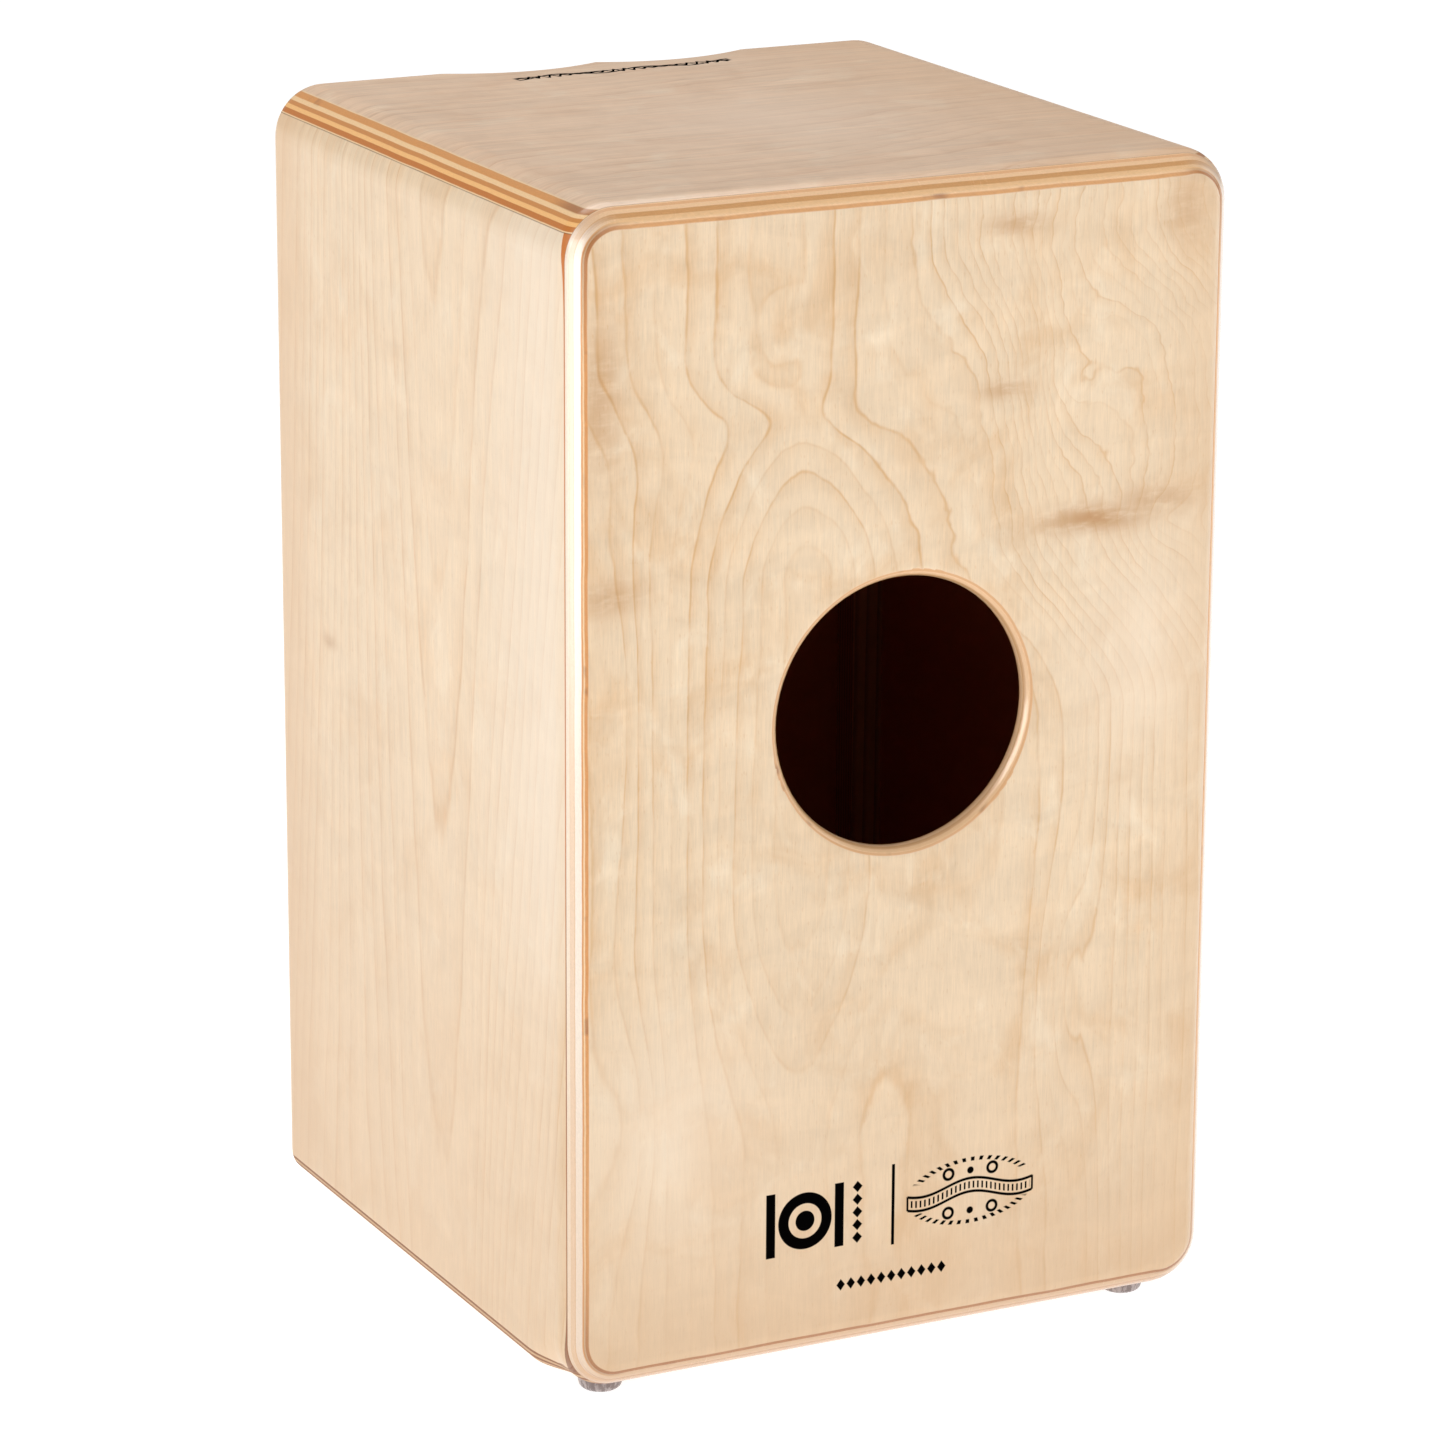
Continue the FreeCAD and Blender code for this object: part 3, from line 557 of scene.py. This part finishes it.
def side_material():
    g = Graph("birch_side")
    x, y, z = g.millimetres()
    depth = SIDE_HIGH[0] - g.math("ABSOLUTE", x)
    # a different number for each side panel, so that their figures differ
    sided = g.math("SIGN", x) * 9.0
    count = side_rings(g, y, z, sided)
    face, height = veneer(
        g, y, z, count, srgb(239, 212, 178), srgb(216, 166, 108), 0.60, 61.0, 0.60
    )
    streak = g.noise(y / 3.2, z / 260.0, sided + 5.0, 2.0, 0.6)
    dim = 1.0 + 0.10 * (streak - 0.5)
    face = g.shade(face, dim)
    # painted shade darkens the face towards the front and the foot, and painted light makes it
    # paler beside the back panel
    away = g.fall(y, -146.0, -90.0) * 0.55
    face = g.mix(away, face, srgb(224, 184, 142))
    low_painted_shade = g.fall(z, 0.0, 300.0) * 0.45
    face = g.mix(low_painted_shade, face, srgb(218, 182, 142))
    painted_near_light = g.rise(y, 40.0, 130.0) * g.rise(z, 120.0, 260.0) * 0.42
    face = g.mix(painted_near_light, face, srgb(252, 236, 216))
    mark = stain(g, y, z, -90.0, 268.0, 7.0, 3.0, 57.0)
    face = g.mix(mark * 0.5 * g.rise(x, -10.0, 10.0), face, srgb(190, 138, 84))
    # the side's end grain shows in a wedge where it runs out under the back panel
    seam = SIDE_HIGH[1] - y
    below_top = SIDE_HIGH[2] - z
    above_bottom = z - SIDE_LOW[2]
    wedge = 0.34 + 3.4 * g.math("EXPONENT", -(below_top / 9.0))
    colour = g.mix(g.fall(seam, wedge - 0.1, wedge + 0.1), face, PLY_DARK)
    # plies show where the bottom edge is rounded
    edge, edge_grain = plies(g, depth, y, z, SIDE_LOW_PLIES)
    bottom_edge = g.rise(depth, 3.70, 3.85) * g.fall(above_bottom, 22.0, 26.0)
    colour = g.mix(bottom_edge, colour, edge)
    dark_wedge = 4.6 * g.math("EXPONENT", -(above_bottom / 8.0)) + 0.25
    dark_wedge = dark_wedge * g.fall(above_bottom, 140.0, 260.0)
    low_seam = g.fall(seam, dark_wedge - 0.1, dark_wedge + 0.1)
    colour = g.mix(low_seam * 0.85, colour, srgb(136, 82, 46))
    under = g.fall(below_top, 0.05, 0.45)
    colour = g.mix(under * 0.7, colour, GLUE)
    front_seam = g.fall(y - SIDE_LOW[1], 0.1, 0.45)
    colour = g.mix(front_seam * 0.7, colour, GLUE)
    colour = g.mix(g.rise(depth, 8.3, 8.45), colour, INSIDE)
    rough = 0.36 + 0.14 * (height - 0.5) + 0.08 * bottom_edge * edge_grain
    return lacquered(g, colour, rough, height)


SEAT_PLIES = (
    (2.10, srgb(234, 200, 160)),
    (2.50, PLY_LIGHT),
    (4.30, srgb(224, 152, 76)),
    (5.70, srgb(250, 208, 154)),
    (7.10, srgb(212, 140, 68)),
    (8.60, srgb(252, 194, 122)),
    (10.50, srgb(202, 120, 42)),
    (10.95, PLY_LIGHT),
    (11.50, GLUE),
)


def top_material():
    g = Graph("birch_seat")
    x, y, z = g.millimetres()
    depth = TOP_HIGH[2] - z
    count = y / 11.0 - x / 160.0 + wander(g, y, x, 71.0, 1.6, 0.25)
    count = count + bump(g, y, x, 70.0, -90.0, 34.0, 60.0, 3.2)
    face, height = veneer(
        g, y, x, count, srgb(240, 205, 172), srgb(208, 156, 110), 0.60, 81.0, 0.7
    )
    streak = g.noise(y / 1.3, x / 70.0, 85.0, 3.0, 0.65)
    broad = g.noise(y / 6.0, x / 160.0, 87.0, 2.0, 0.5)
    dim = 0.965 + 0.34 * (streak - 0.5) + 0.20 * (broad - 0.5)
    face = g.shade(face, dim)
    # a paler patch in the seat's middle: partly the wood's figure, partly a painted sheen
    figure_and_painted_sheen = g.hill(y, 20.0, 62.0) * g.hill(x, -6.0, 62.0) * 0.34
    face = g.mix(figure_and_painted_sheen, face, srgb(252, 226, 202))
    right_warmth = g.fall(x, -140.0, -30.0) * 0.30
    face = g.mix(right_warmth, face, srgb(226, 178, 128))
    ink = seat_mark(g, x, y)
    face = g.mix(ink, face, INK)
    edge, edge_grain = plies(g, depth, x, y, SEAT_PLIES)
    burn = g.rise(g.noise(x / 30.0, y / 14.0, 91.0, 2.0, 0.5), 0.60, 0.70)
    burn = burn * g.rise(depth, 2.2, 2.8) * g.fall(depth, 4.2, 4.8)
    corner = g.rise(g.math("ABSOLUTE", x), 126.0, 140.0) * g.rise(y, 112.0, 134.0)
    corner = corner * g.rise(depth, 2.0, 2.6) * g.fall(depth, 4.0, 4.6)
    edge = g.mix(g.math("MAXIMUM", burn * 0.4, corner * 0.55), edge, BURNT)
    colour = g.mix(g.rise(depth, 1.9, 2.5), face, edge)
    colour = g.mix(g.rise(depth, 10.97, 10.99), colour, INSIDE)
    rounding = g.rise(depth, 0.3, 2.5) * g.fall(depth, 10.8, 10.97)
    rough = 0.36 + 0.14 * (height - 0.5) + 0.04 * rounding * (edge_grain - 0.5)
    return lacquered(g, colour, rough, height, ink, rounding * 0.4)


def seat_mark(g, x, y):
    """A looped flourish near the seat's front edge, printed in dark ink."""
    along = (x + 3.0) / 54.0
    inside = g.fall(g.math("ABSOLUTE", along), 0.96, 1.0)
    baseline = y + 117.0 - 0.035 * (x + 3.0)
    swing = g.math("SINE", along * 66.0) * (1.3 + 1.0 * g.math("COSINE", along * 9.0))
    wave = g.math("ABSOLUTE", baseline - swing)
    sweep = g.math("SINE", along * 8.0) * 3.4
    curve = g.math("ABSOLUTE", baseline - sweep)
    stem = g.math("ABSOLUTE", baseline + 1.6)
    mark = g.math("MAXIMUM", g.fall(wave, 1.1, 1.5), g.fall(curve, 0.6, 0.95))
    mark = g.math("MAXIMUM", mark, g.fall(stem, 0.3, 0.6))
    return mark * inside


FRONT_PLIES = (
    (0.40, PALE),
    (1.30, PLY_ORANGE),
    (2.10, PLY_LIGHT),
    (2.95, PLY_DARK),
    (3.45, PLY_LIGHT),
    (3.90, GLUE),
)


def front_material():
    g = Graph("birch_front")
    x, y, z = g.millimetres()
    depth = y - FRONT_LOW[1]
    count = bow(g, x + 18.0, 26.0, 12.0) - z / 150.0 + wander(g, x, z, 101.0, 1.2, 0.12)
    count = count + bump(g, x, z, 70.0, 380.0, 26.0, 60.0, 2.2)
    count = count + bump(g, x, z, -95.0, 120.0, 24.0, 80.0, 2.0)
    face, height = veneer(g, x, z, count, srgb(236, 208, 172), RING, 0.7, 103.0)
    edge, edge_grain = plies(g, depth, x, z, FRONT_PLIES)
    colour = g.mix(g.rise(depth, 0.25, 0.45), face, edge)
    colour = g.mix(g.rise(depth, 3.47, 3.49), colour, INSIDE)
    rough = 0.33 + 0.12 * (height - 0.5) + 0.08 * g.rise(depth, 0.3, 0.8) * edge_grain
    return lacquered(g, colour, rough, height)


BOTTOM_PLIES = (
    (1.20, srgb(206, 168, 128)),
    (2.80, srgb(150, 98, 60)),
    (4.30, srgb(202, 164, 124)),
    (5.80, srgb(146, 92, 54)),
    (7.20, srgb(206, 170, 130)),
    (8.30, srgb(142, 90, 54)),
    (8.45, srgb(202, 164, 124)),
    (9.00, GLUE),
)


def bottom_material():
    g = Graph("birch_bottom")
    x, y, z = g.millimetres()
    depth = z - BOTTOM_LOW[2]
    count = y / 15.0 + wander(g, y, x, 111.0, 1.4, 0.2)
    face, height = veneer(
        g, y, x, count, srgb(218, 186, 150), srgb(190, 148, 106), 0.6, 113.0
    )
    edge, edge_grain = plies(g, depth, x, y, BOTTOM_PLIES)
    colour = g.mix(g.rise(depth, 0.9, 1.3), face, edge)
    colour = g.mix(g.rise(depth, 8.47, 8.49), colour, INSIDE)
    rough = 0.52 + 0.2 * (height - 0.5) + 0.1 * edge_grain
    return g.finish(colour, rough, height, 0.06, Specular_IOR_Level=0.4)


# ---------------------------------------------------------------- other materials


def softwood_material(name, grain_axis):
    """Stained pine whose fibres and growth rings run along one axis of the row frame."""
    g = Graph(name)
    x, y, z = g.millimetres()
    along, across, through = {"x": (x, z, y), "y": (y, x, z), "z": (z, x, y)}[grain_axis]
    drift = g.noise(across / 40.0, through / 30.0, along / 260.0, 2.0, 0.5)
    rings_in = through / 2.4 + across / 5.5 + 1.6 * drift
    part = g.math("FRACT", rings_in)
    late = g.rise(part, 0.45, 0.92) * g.fall(part, 0.93, 0.99)
    fibre = g.noise(across / 0.8, through / 0.8, along / 16.0, 3.0, 0.6)
    colour = g.mix(late * 0.6, srgb(176, 108, 64), srgb(132, 70, 38))
    dim = 0.9 + 0.2 * fibre
    colour = g.shade(colour, dim)
    return g.finish(colour, 0.6 + 0.2 * fibre, fibre, 0.08, Specular_IOR_Level=0.35)


def rubber_material():
    g = Graph("clear_rubber")
    x, y, z = g.millimetres()
    grain = g.noise(x / 0.7, y / 0.7, z / 0.7, 3.0, 0.6)
    # random pale streaks over the darker rubber are painted highlights; the same mask also
    # raises the roughness
    pale_painted_streaks = g.rise(g.noise(x / 2.2, y / 2.2, z / 6.0, 3.0, 0.6), 0.38, 0.70)
    colour = g.mix(pale_painted_streaks * 0.7, srgb(146, 131, 129), srgb(222, 212, 212))
    rough = 0.14 + 0.12 * grain + 0.2 * pale_painted_streaks
    return g.finish(
        colour, rough, grain, 0.04, Specular_IOR_Level=0.8, Transmission_Weight=0.25, IOR=1.45
    )


def metal_material(name, colour, worn, roughness, lathe=0.0):
    """Metal with fine machining marks and wear. lathe is how strong the marks round z are."""
    g = Graph(name)
    x, y, z = g.millimetres()
    grain = g.noise(x / 0.35, y / 0.35, z / 0.35, 3.0, 0.6)
    patch = g.rise(g.noise(x / 2.2, y / 2.2, z / 2.2, 3.0, 0.6), 0.48, 0.72)
    turned = g.math("SINE", z * 22.0) * lathe
    tone = g.mix(patch * 0.6, colour, worn)
    rough = roughness + 0.16 * (grain - 0.5) + 0.1 * patch
    return g.finish(tone, rough, grain + turned, 0.02, Metallic=1.0)


SCREW_LOW, SCREW_HIGH = box_mm("tension_screw_right")


def thread_material(name, colour, worn, pitch):
    """Metal with a screw thread's helix along z as relief."""
    g = Graph(name)
    x, y, z = g.millimetres()
    axis_x = abs(SCREW_LOW[0] + SCREW_HIGH[0]) / 2
    axis_y = (SCREW_LOW[1] + SCREW_HIGH[1]) / 2
    across = g.math("ABSOLUTE", x) - axis_x
    turn = g.math("ARCTAN2", y - axis_y, across) / math.tau
    thread = g.math("PINGPONG", z / pitch + turn, 0.5) * 2.0
    grain = g.noise(x / 0.3, y / 0.3, z / 0.3, 2.0, 0.6)
    tone = g.mix(g.rise(thread, 0.55, 1.0) * 0.7, colour, worn)
    rough = 0.34 + 0.14 * grain
    return g.finish(tone, rough, thread, 0.5, Metallic=1.0)


def wound_material():
    g = Graph("wound_steel")
    uv = g.node("ShaderNodeUVMap")
    split = g.node("ShaderNodeSeparateXYZ")
    g.feed(split.inputs[0], uv.outputs[0])
    along, around = Num(g, split.outputs[0]), Num(g, split.outputs[1])
    winding = g.math("PINGPONG", along + around, 0.5) * 2.0
    x, y, z = g.millimetres()
    tarnish = g.noise(x / 4.0, y / 4.0, z / 9.0, 3.0, 0.6)
    tone = g.mix(g.rise(winding, 0.1, 0.9), srgb(92, 86, 80), srgb(206, 200, 190))
    tone = g.mix(g.rise(tarnish, 0.5, 0.8) * 0.4, tone, srgb(150, 120, 84))
    return g.finish(tone, 0.3 + 0.15 * tarnish, winding, 0.12, Metallic=1.0)


MATERIALS = {
    "back": back_material(),
    "side": side_material(),
    "seat": top_material(),
    "front": front_material(),
    "bottom": bottom_material(),
    "batten_level": softwood_material("pine_level", "x"),
    "batten_upright": softwood_material("pine_upright", "z"),
    "batten_deep": softwood_material("pine_deep", "y"),
    "rubber": rubber_material(),
    "black_screw": metal_material("black_oxide", srgb(34, 33, 34), srgb(92, 86, 80), 0.42),
    "zinc": metal_material("zinc_plate", srgb(184, 184, 180), srgb(212, 206, 190), 0.34),
    "brass": metal_material("turned_brass", srgb(206, 170, 96), srgb(164, 124, 66), 0.28, 0.1),
    "thread": thread_material("threaded_steel", srgb(52, 50, 50), srgb(120, 116, 110), 1.25),
    "wound": wound_material(),
}

BY_NODE = {
    "back_panel": "back",
    "left_side_panel": "side",
    "right_side_panel": "side",
    "top_panel": "seat",
    "front_plate": "front",
    "bottom_panel": "bottom",
    "string_rail": "batten_level",
    "front_batten_top": "batten_level",
    "front_batten_bottom": "batten_level",
    "plate_screws": "black_screw",
    "bobbin_screws": "black_screw",
    "foot_screws": "zinc",
    "foot_washers": "zinc",
    "bracket_screws": "zinc",
}
BY_START = {
    "front_batten": "batten_upright",
    "corner_strip": "batten_deep",
    "foot_": "rubber",
    "string_bobbin": "brass",
    "tensioner_bracket": "zinc",
    "string_carriage": "zinc",
    "retaining_ring": "black_screw",
    "tension_screw": "thread",
}


def material_for(name):
    if name in BY_NODE:
        return MATERIALS[BY_NODE[name]]
    for start, kind in BY_START.items():
        if name.startswith(start):
            return MATERIALS[kind]
    return MATERIALS["wound"]


for name, piece in nodes.items():
    piece.data.materials.clear()
    piece.data.materials.append(material_for(name))


# ---------------------------------------------------------------- strings

STRING_RADIUS = 0.0006
END_RADIUS = 0.0018
END_LENGTH = 0.0035
STRING_SPREAD = 0.009
WIRE_SIDES = 12
BALL_END_SIDES = 20
WINDING_PITCH = 0.00035
LEG_STEPS = 60
TURN_STEPS = 24
# the ball end's outline, as (radius, height above its foot)
BALL_END = (
    (0.0008, 0.0),
    (0.0015, 0.0),
    (END_RADIUS, 0.0004),
    (0.00145, 0.0010),
    (0.00135, 0.00175),
    (0.00145, 0.0025),
    (END_RADIUS, 0.0031),
    (0.0015, END_LENGTH),
    (0.0006, END_LENGTH),
)


def new_mesh(name, points, faces, uvs=None):
    mesh = bpy.data.meshes.new(name)
    mesh.from_pydata(points, [], faces)
    if uvs:
        layer = mesh.uv_layers.new(name="UVMap")
        for loop in mesh.loops:
            layer.data[loop.index].uv = uvs[loop.vertex_index]
    mesh.validate()
    for polygon in mesh.polygons:
        polygon.use_smooth = True
    piece = bpy.data.objects.new(name, mesh)
    bpy.context.scene.collection.objects.link(piece)
    return piece


def tube(path, radius, sides):
    """A round tube along a path: (points, faces, uvs). u counts the winding's turns."""
    points, faces, uvs = [], [], []
    depth_axis = Vector((0.0, 1.0, 0.0))
    travelled = 0.0
    for index, place in enumerate(path):
        before = path[max(index - 1, 0)]
        after = path[min(index + 1, len(path) - 1)]
        heading = (after - before).normalized()
        side_axis = heading.cross(depth_axis).normalized()
        lift_axis = side_axis.cross(heading).normalized()
        if index:
            travelled += (place - before).length
        for side in range(sides):
            turn = math.tau * side / sides
            outward = math.cos(turn) * side_axis + math.sin(turn) * lift_axis
            points.append(place + radius * outward)
            uvs.append((travelled / WINDING_PITCH, side / sides))
    for index in range(len(path) - 1):
        for side in range(sides):
            ahead = (side + 1) % sides
            base = index * sides
            faces.append((base + side, base + ahead, base + sides + ahead, base + sides + side))
    faces.append(tuple(reversed(range(sides))))
    faces.append(tuple(range((len(path) - 1) * sides, len(path) * sides)))
    return points, faces, uvs


def turned(profile, middle, sides):
    """A solid of revolution about the vertical through middle, from (radius, height) pairs."""
    points, faces = [], []
    for radius, height in profile:
        for side in range(sides):
            turn = math.tau * side / sides
            offset = Vector((radius * math.cos(turn), radius * math.sin(turn), height))
            points.append(middle + offset)
    for ring in range(len(profile) - 1):
        for side in range(sides):
            ahead = (side + 1) % sides
            base = ring * sides
            faces.append((base + side, base + ahead, base + sides + ahead, base + sides + side))
    faces.append(tuple(reversed(range(sides))))
    faces.append(tuple(range((len(profile) - 1) * sides, len(profile) * sides)))
    return points, faces


def make_string(side):
    """One wound string with its two ball ends, stretched between the bobbin and the carriage."""
    low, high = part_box(f"string_{side}")
    middle = (low[0] + high[0]) / 2
    top_y = low[1] + STRING_RADIUS
    foot_y = high[1] - END_RADIUS
    top_z = high[2] - STRING_SPREAD - STRING_RADIUS
    foot_z = low[2] + END_LENGTH

    def on_leg(x, share):
        """A point of a leg. share is 0 at its foot and 1 where it meets the bobbin."""
        return Vector((x, foot_y + (top_y - foot_y) * share, foot_z + (top_z - foot_z) * share))

    path = []
    for step in range(LEG_STEPS):
        path.append(on_leg(middle - STRING_SPREAD, step / LEG_STEPS))
    for step in range(TURN_STEPS + 1):
        turn = math.pi * (1 - step / TURN_STEPS)
        offset = Vector((math.cos(turn), 0.0, math.sin(turn))) * STRING_SPREAD
        path.append(Vector((middle, top_y, top_z)) + offset)
    for step in range(1, LEG_STEPS + 1):
        path.append(on_leg(middle + STRING_SPREAD, 1 - step / LEG_STEPS))
    points, faces, uvs = tube(path, STRING_RADIUS, WIRE_SIDES)
    for sign in (-1, 1):
        foot = Vector((middle + sign * STRING_SPREAD, foot_y, low[2]))
        more_points, more_faces = turned(BALL_END, foot, BALL_END_SIDES)
        start = len(points)
        points += more_points
        faces += [tuple(start + corner for corner in face) for face in more_faces]
        uvs += [(0.5, 0.0)] * len(more_points)
    piece = new_mesh(f"wound_string_{side}", points, faces, uvs)
    piece.data.materials.append(MATERIALS["wound"])
    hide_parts(f"string_{side}")
    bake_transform(piece)


for side in ("left", "right"):
    make_string(side)


# ---------------------------------------------------------------- studio


def pale_floor():
    g = Graph("pale_floor")
    x, y, _ = g.millimetres()
    cloud = g.noise(x / 700.0, y / 700.0, 0.0, 2.0, 0.5)
    shade = 0.52 + 0.02 * cloud
    return g.finish(
        g.vector(shade, shade, shade),
        0.9,
        Emission_Color=(1.0, 1.0, 1.0, 1.0),
        Emission_Strength=0.84,
        Specular_IOR_Level=0.1,
    )


FLOOR_REACH = 14.0
BACKDROP_RADIUS = 12.0
BACKDROP_HEIGHT = 9.0
BACKDROP_SIDES = 48


def make_floor(material):
    """A flat square floor."""
    corners = [
        (-FLOOR_REACH, -FLOOR_REACH, 0.0),
        (FLOOR_REACH, -FLOOR_REACH, 0.0),
        (FLOOR_REACH, FLOOR_REACH, 0.0),
        (-FLOOR_REACH, FLOOR_REACH, 0.0),
    ]
    floor = new_mesh("floor", corners, [(0, 1, 2, 3)])
    floor.data.materials.append(material)


def make_backdrop(material):
    """A tall ring round the set, seen by the camera in level views and by nothing else."""
    points, faces = [], []
    for height in (0.0, BACKDROP_HEIGHT):
        for side in range(BACKDROP_SIDES):
            turn = math.tau * side / BACKDROP_SIDES
            out_x, out_y = math.cos(turn), math.sin(turn)
            points.append((BACKDROP_RADIUS * out_x, BACKDROP_RADIUS * out_y, height))
    for side in range(BACKDROP_SIDES):
        ahead = (side + 1) % BACKDROP_SIDES
        faces.append((side, side + BACKDROP_SIDES, ahead + BACKDROP_SIDES, ahead))
    backdrop = new_mesh("backdrop", points, faces)
    backdrop.data.materials.append(material)
    backdrop.visible_diffuse = False
    backdrop.visible_glossy = False
    backdrop.visible_transmission = False
    backdrop.visible_shadow = False


white_material = pale_floor()
make_floor(white_material)
make_backdrop(white_material)


def aim(thing, target):
    thing.rotation_euler = (Vector(target) - thing.location).to_track_quat("-Z", "Y").to_euler()


def softbox(name, place, target, wide, high, power):
    lamp = bpy.data.lights.new(name, "AREA")
    lamp.shape = "RECTANGLE"
    lamp.size = wide
    lamp.size_y = high
    lamp.energy = power
    thing = bpy.data.objects.new(name, lamp)
    thing.location = place
    bpy.context.scene.collection.objects.link(thing)
    aim(thing, target)
    return thing


# name, place, what it faces, width, height and watts
MIDDLE = (0.0, 0.0, 0.26)
softbox("key", (1.15, 1.15, 1.65), (0.0, 0.0, 0.42), 0.9, 0.9, 2.6)
softbox("side_fill", (2.2, 0.3, 1.7), MIDDLE, 1.5, 1.3, 15.0)
softbox("overhead", (-0.1, -0.7, 1.9), MIDDLE, 1.3, 0.8, 10.5)
softbox("front_fill", (-0.9, 2.6, 1.0), MIDDLE, 1.8, 1.6, 14.0)
softbox("far_fill", (-1.8, 0.9, 0.7), MIDDLE, 0.8, 1.2, 3.0)
# this one only makes the long reflection down the near upright edge
edge_strip = softbox("edge_strip", (0.91, 0.69, 0.50), (0.14, 0.14, 0.50), 0.84, 0.96, 13.0)
edge_strip.visible_diffuse = False

WORLD_LIGHT = 0.36

world = bpy.data.worlds.new("studio")
world.use_nodes = True
background = world.node_tree.nodes["Background"]
background.inputs["Color"].default_value = (1.0, 1.0, 1.0, 1.0)
background.inputs["Strength"].default_value = WORLD_LIGHT
bpy.context.scene.world = world
bpy.context.scene.view_settings.view_transform = "Standard"

# ---------------------------------------------------------------- camera

AZIMUTH = math.radians(26.77)
ELEVATION = math.radians(16.35)
ROLL = math.radians(0.29)
DISTANCE = 2.5179
LENS = 146.70
SENSOR = 36.0
FAR_CLIP = 60.0
# what the camera looks at: the case's middle height, moved a little left and down in its view
LOOKED_AT_HEIGHT = 0.254
LOOK_LEFT = 0.00582
LOOK_DOWN = 0.01675

back_axis = Vector(
    (
        math.sin(AZIMUTH) * math.cos(ELEVATION),
        math.cos(AZIMUTH) * math.cos(ELEVATION),
        math.sin(ELEVATION),
    )
)
right_axis = Vector((-math.cos(AZIMUTH), math.sin(AZIMUTH), 0.0))
up_axis = back_axis.cross(right_axis)
looked_at = Vector((0.0, 0.0, LOOKED_AT_HEIGHT)) - LOOK_LEFT * right_axis - LOOK_DOWN * up_axis
turned_right = math.cos(ROLL) * right_axis + math.sin(ROLL) * up_axis
turned_up = math.cos(ROLL) * up_axis - math.sin(ROLL) * right_axis

camera_data = bpy.data.cameras.new("camera")
camera_data.sensor_width = SENSOR
camera_data.lens = LENS
camera_data.clip_end = FAR_CLIP
camera = bpy.data.objects.new("camera", camera_data)
turned_axes = Matrix((turned_right, turned_up, back_axis)).transposed().to_4x4()
camera.matrix_world = Matrix.Translation(looked_at + DISTANCE * back_axis) @ turned_axes
bpy.context.scene.collection.objects.link(camera)
bpy.context.scene.camera = camera
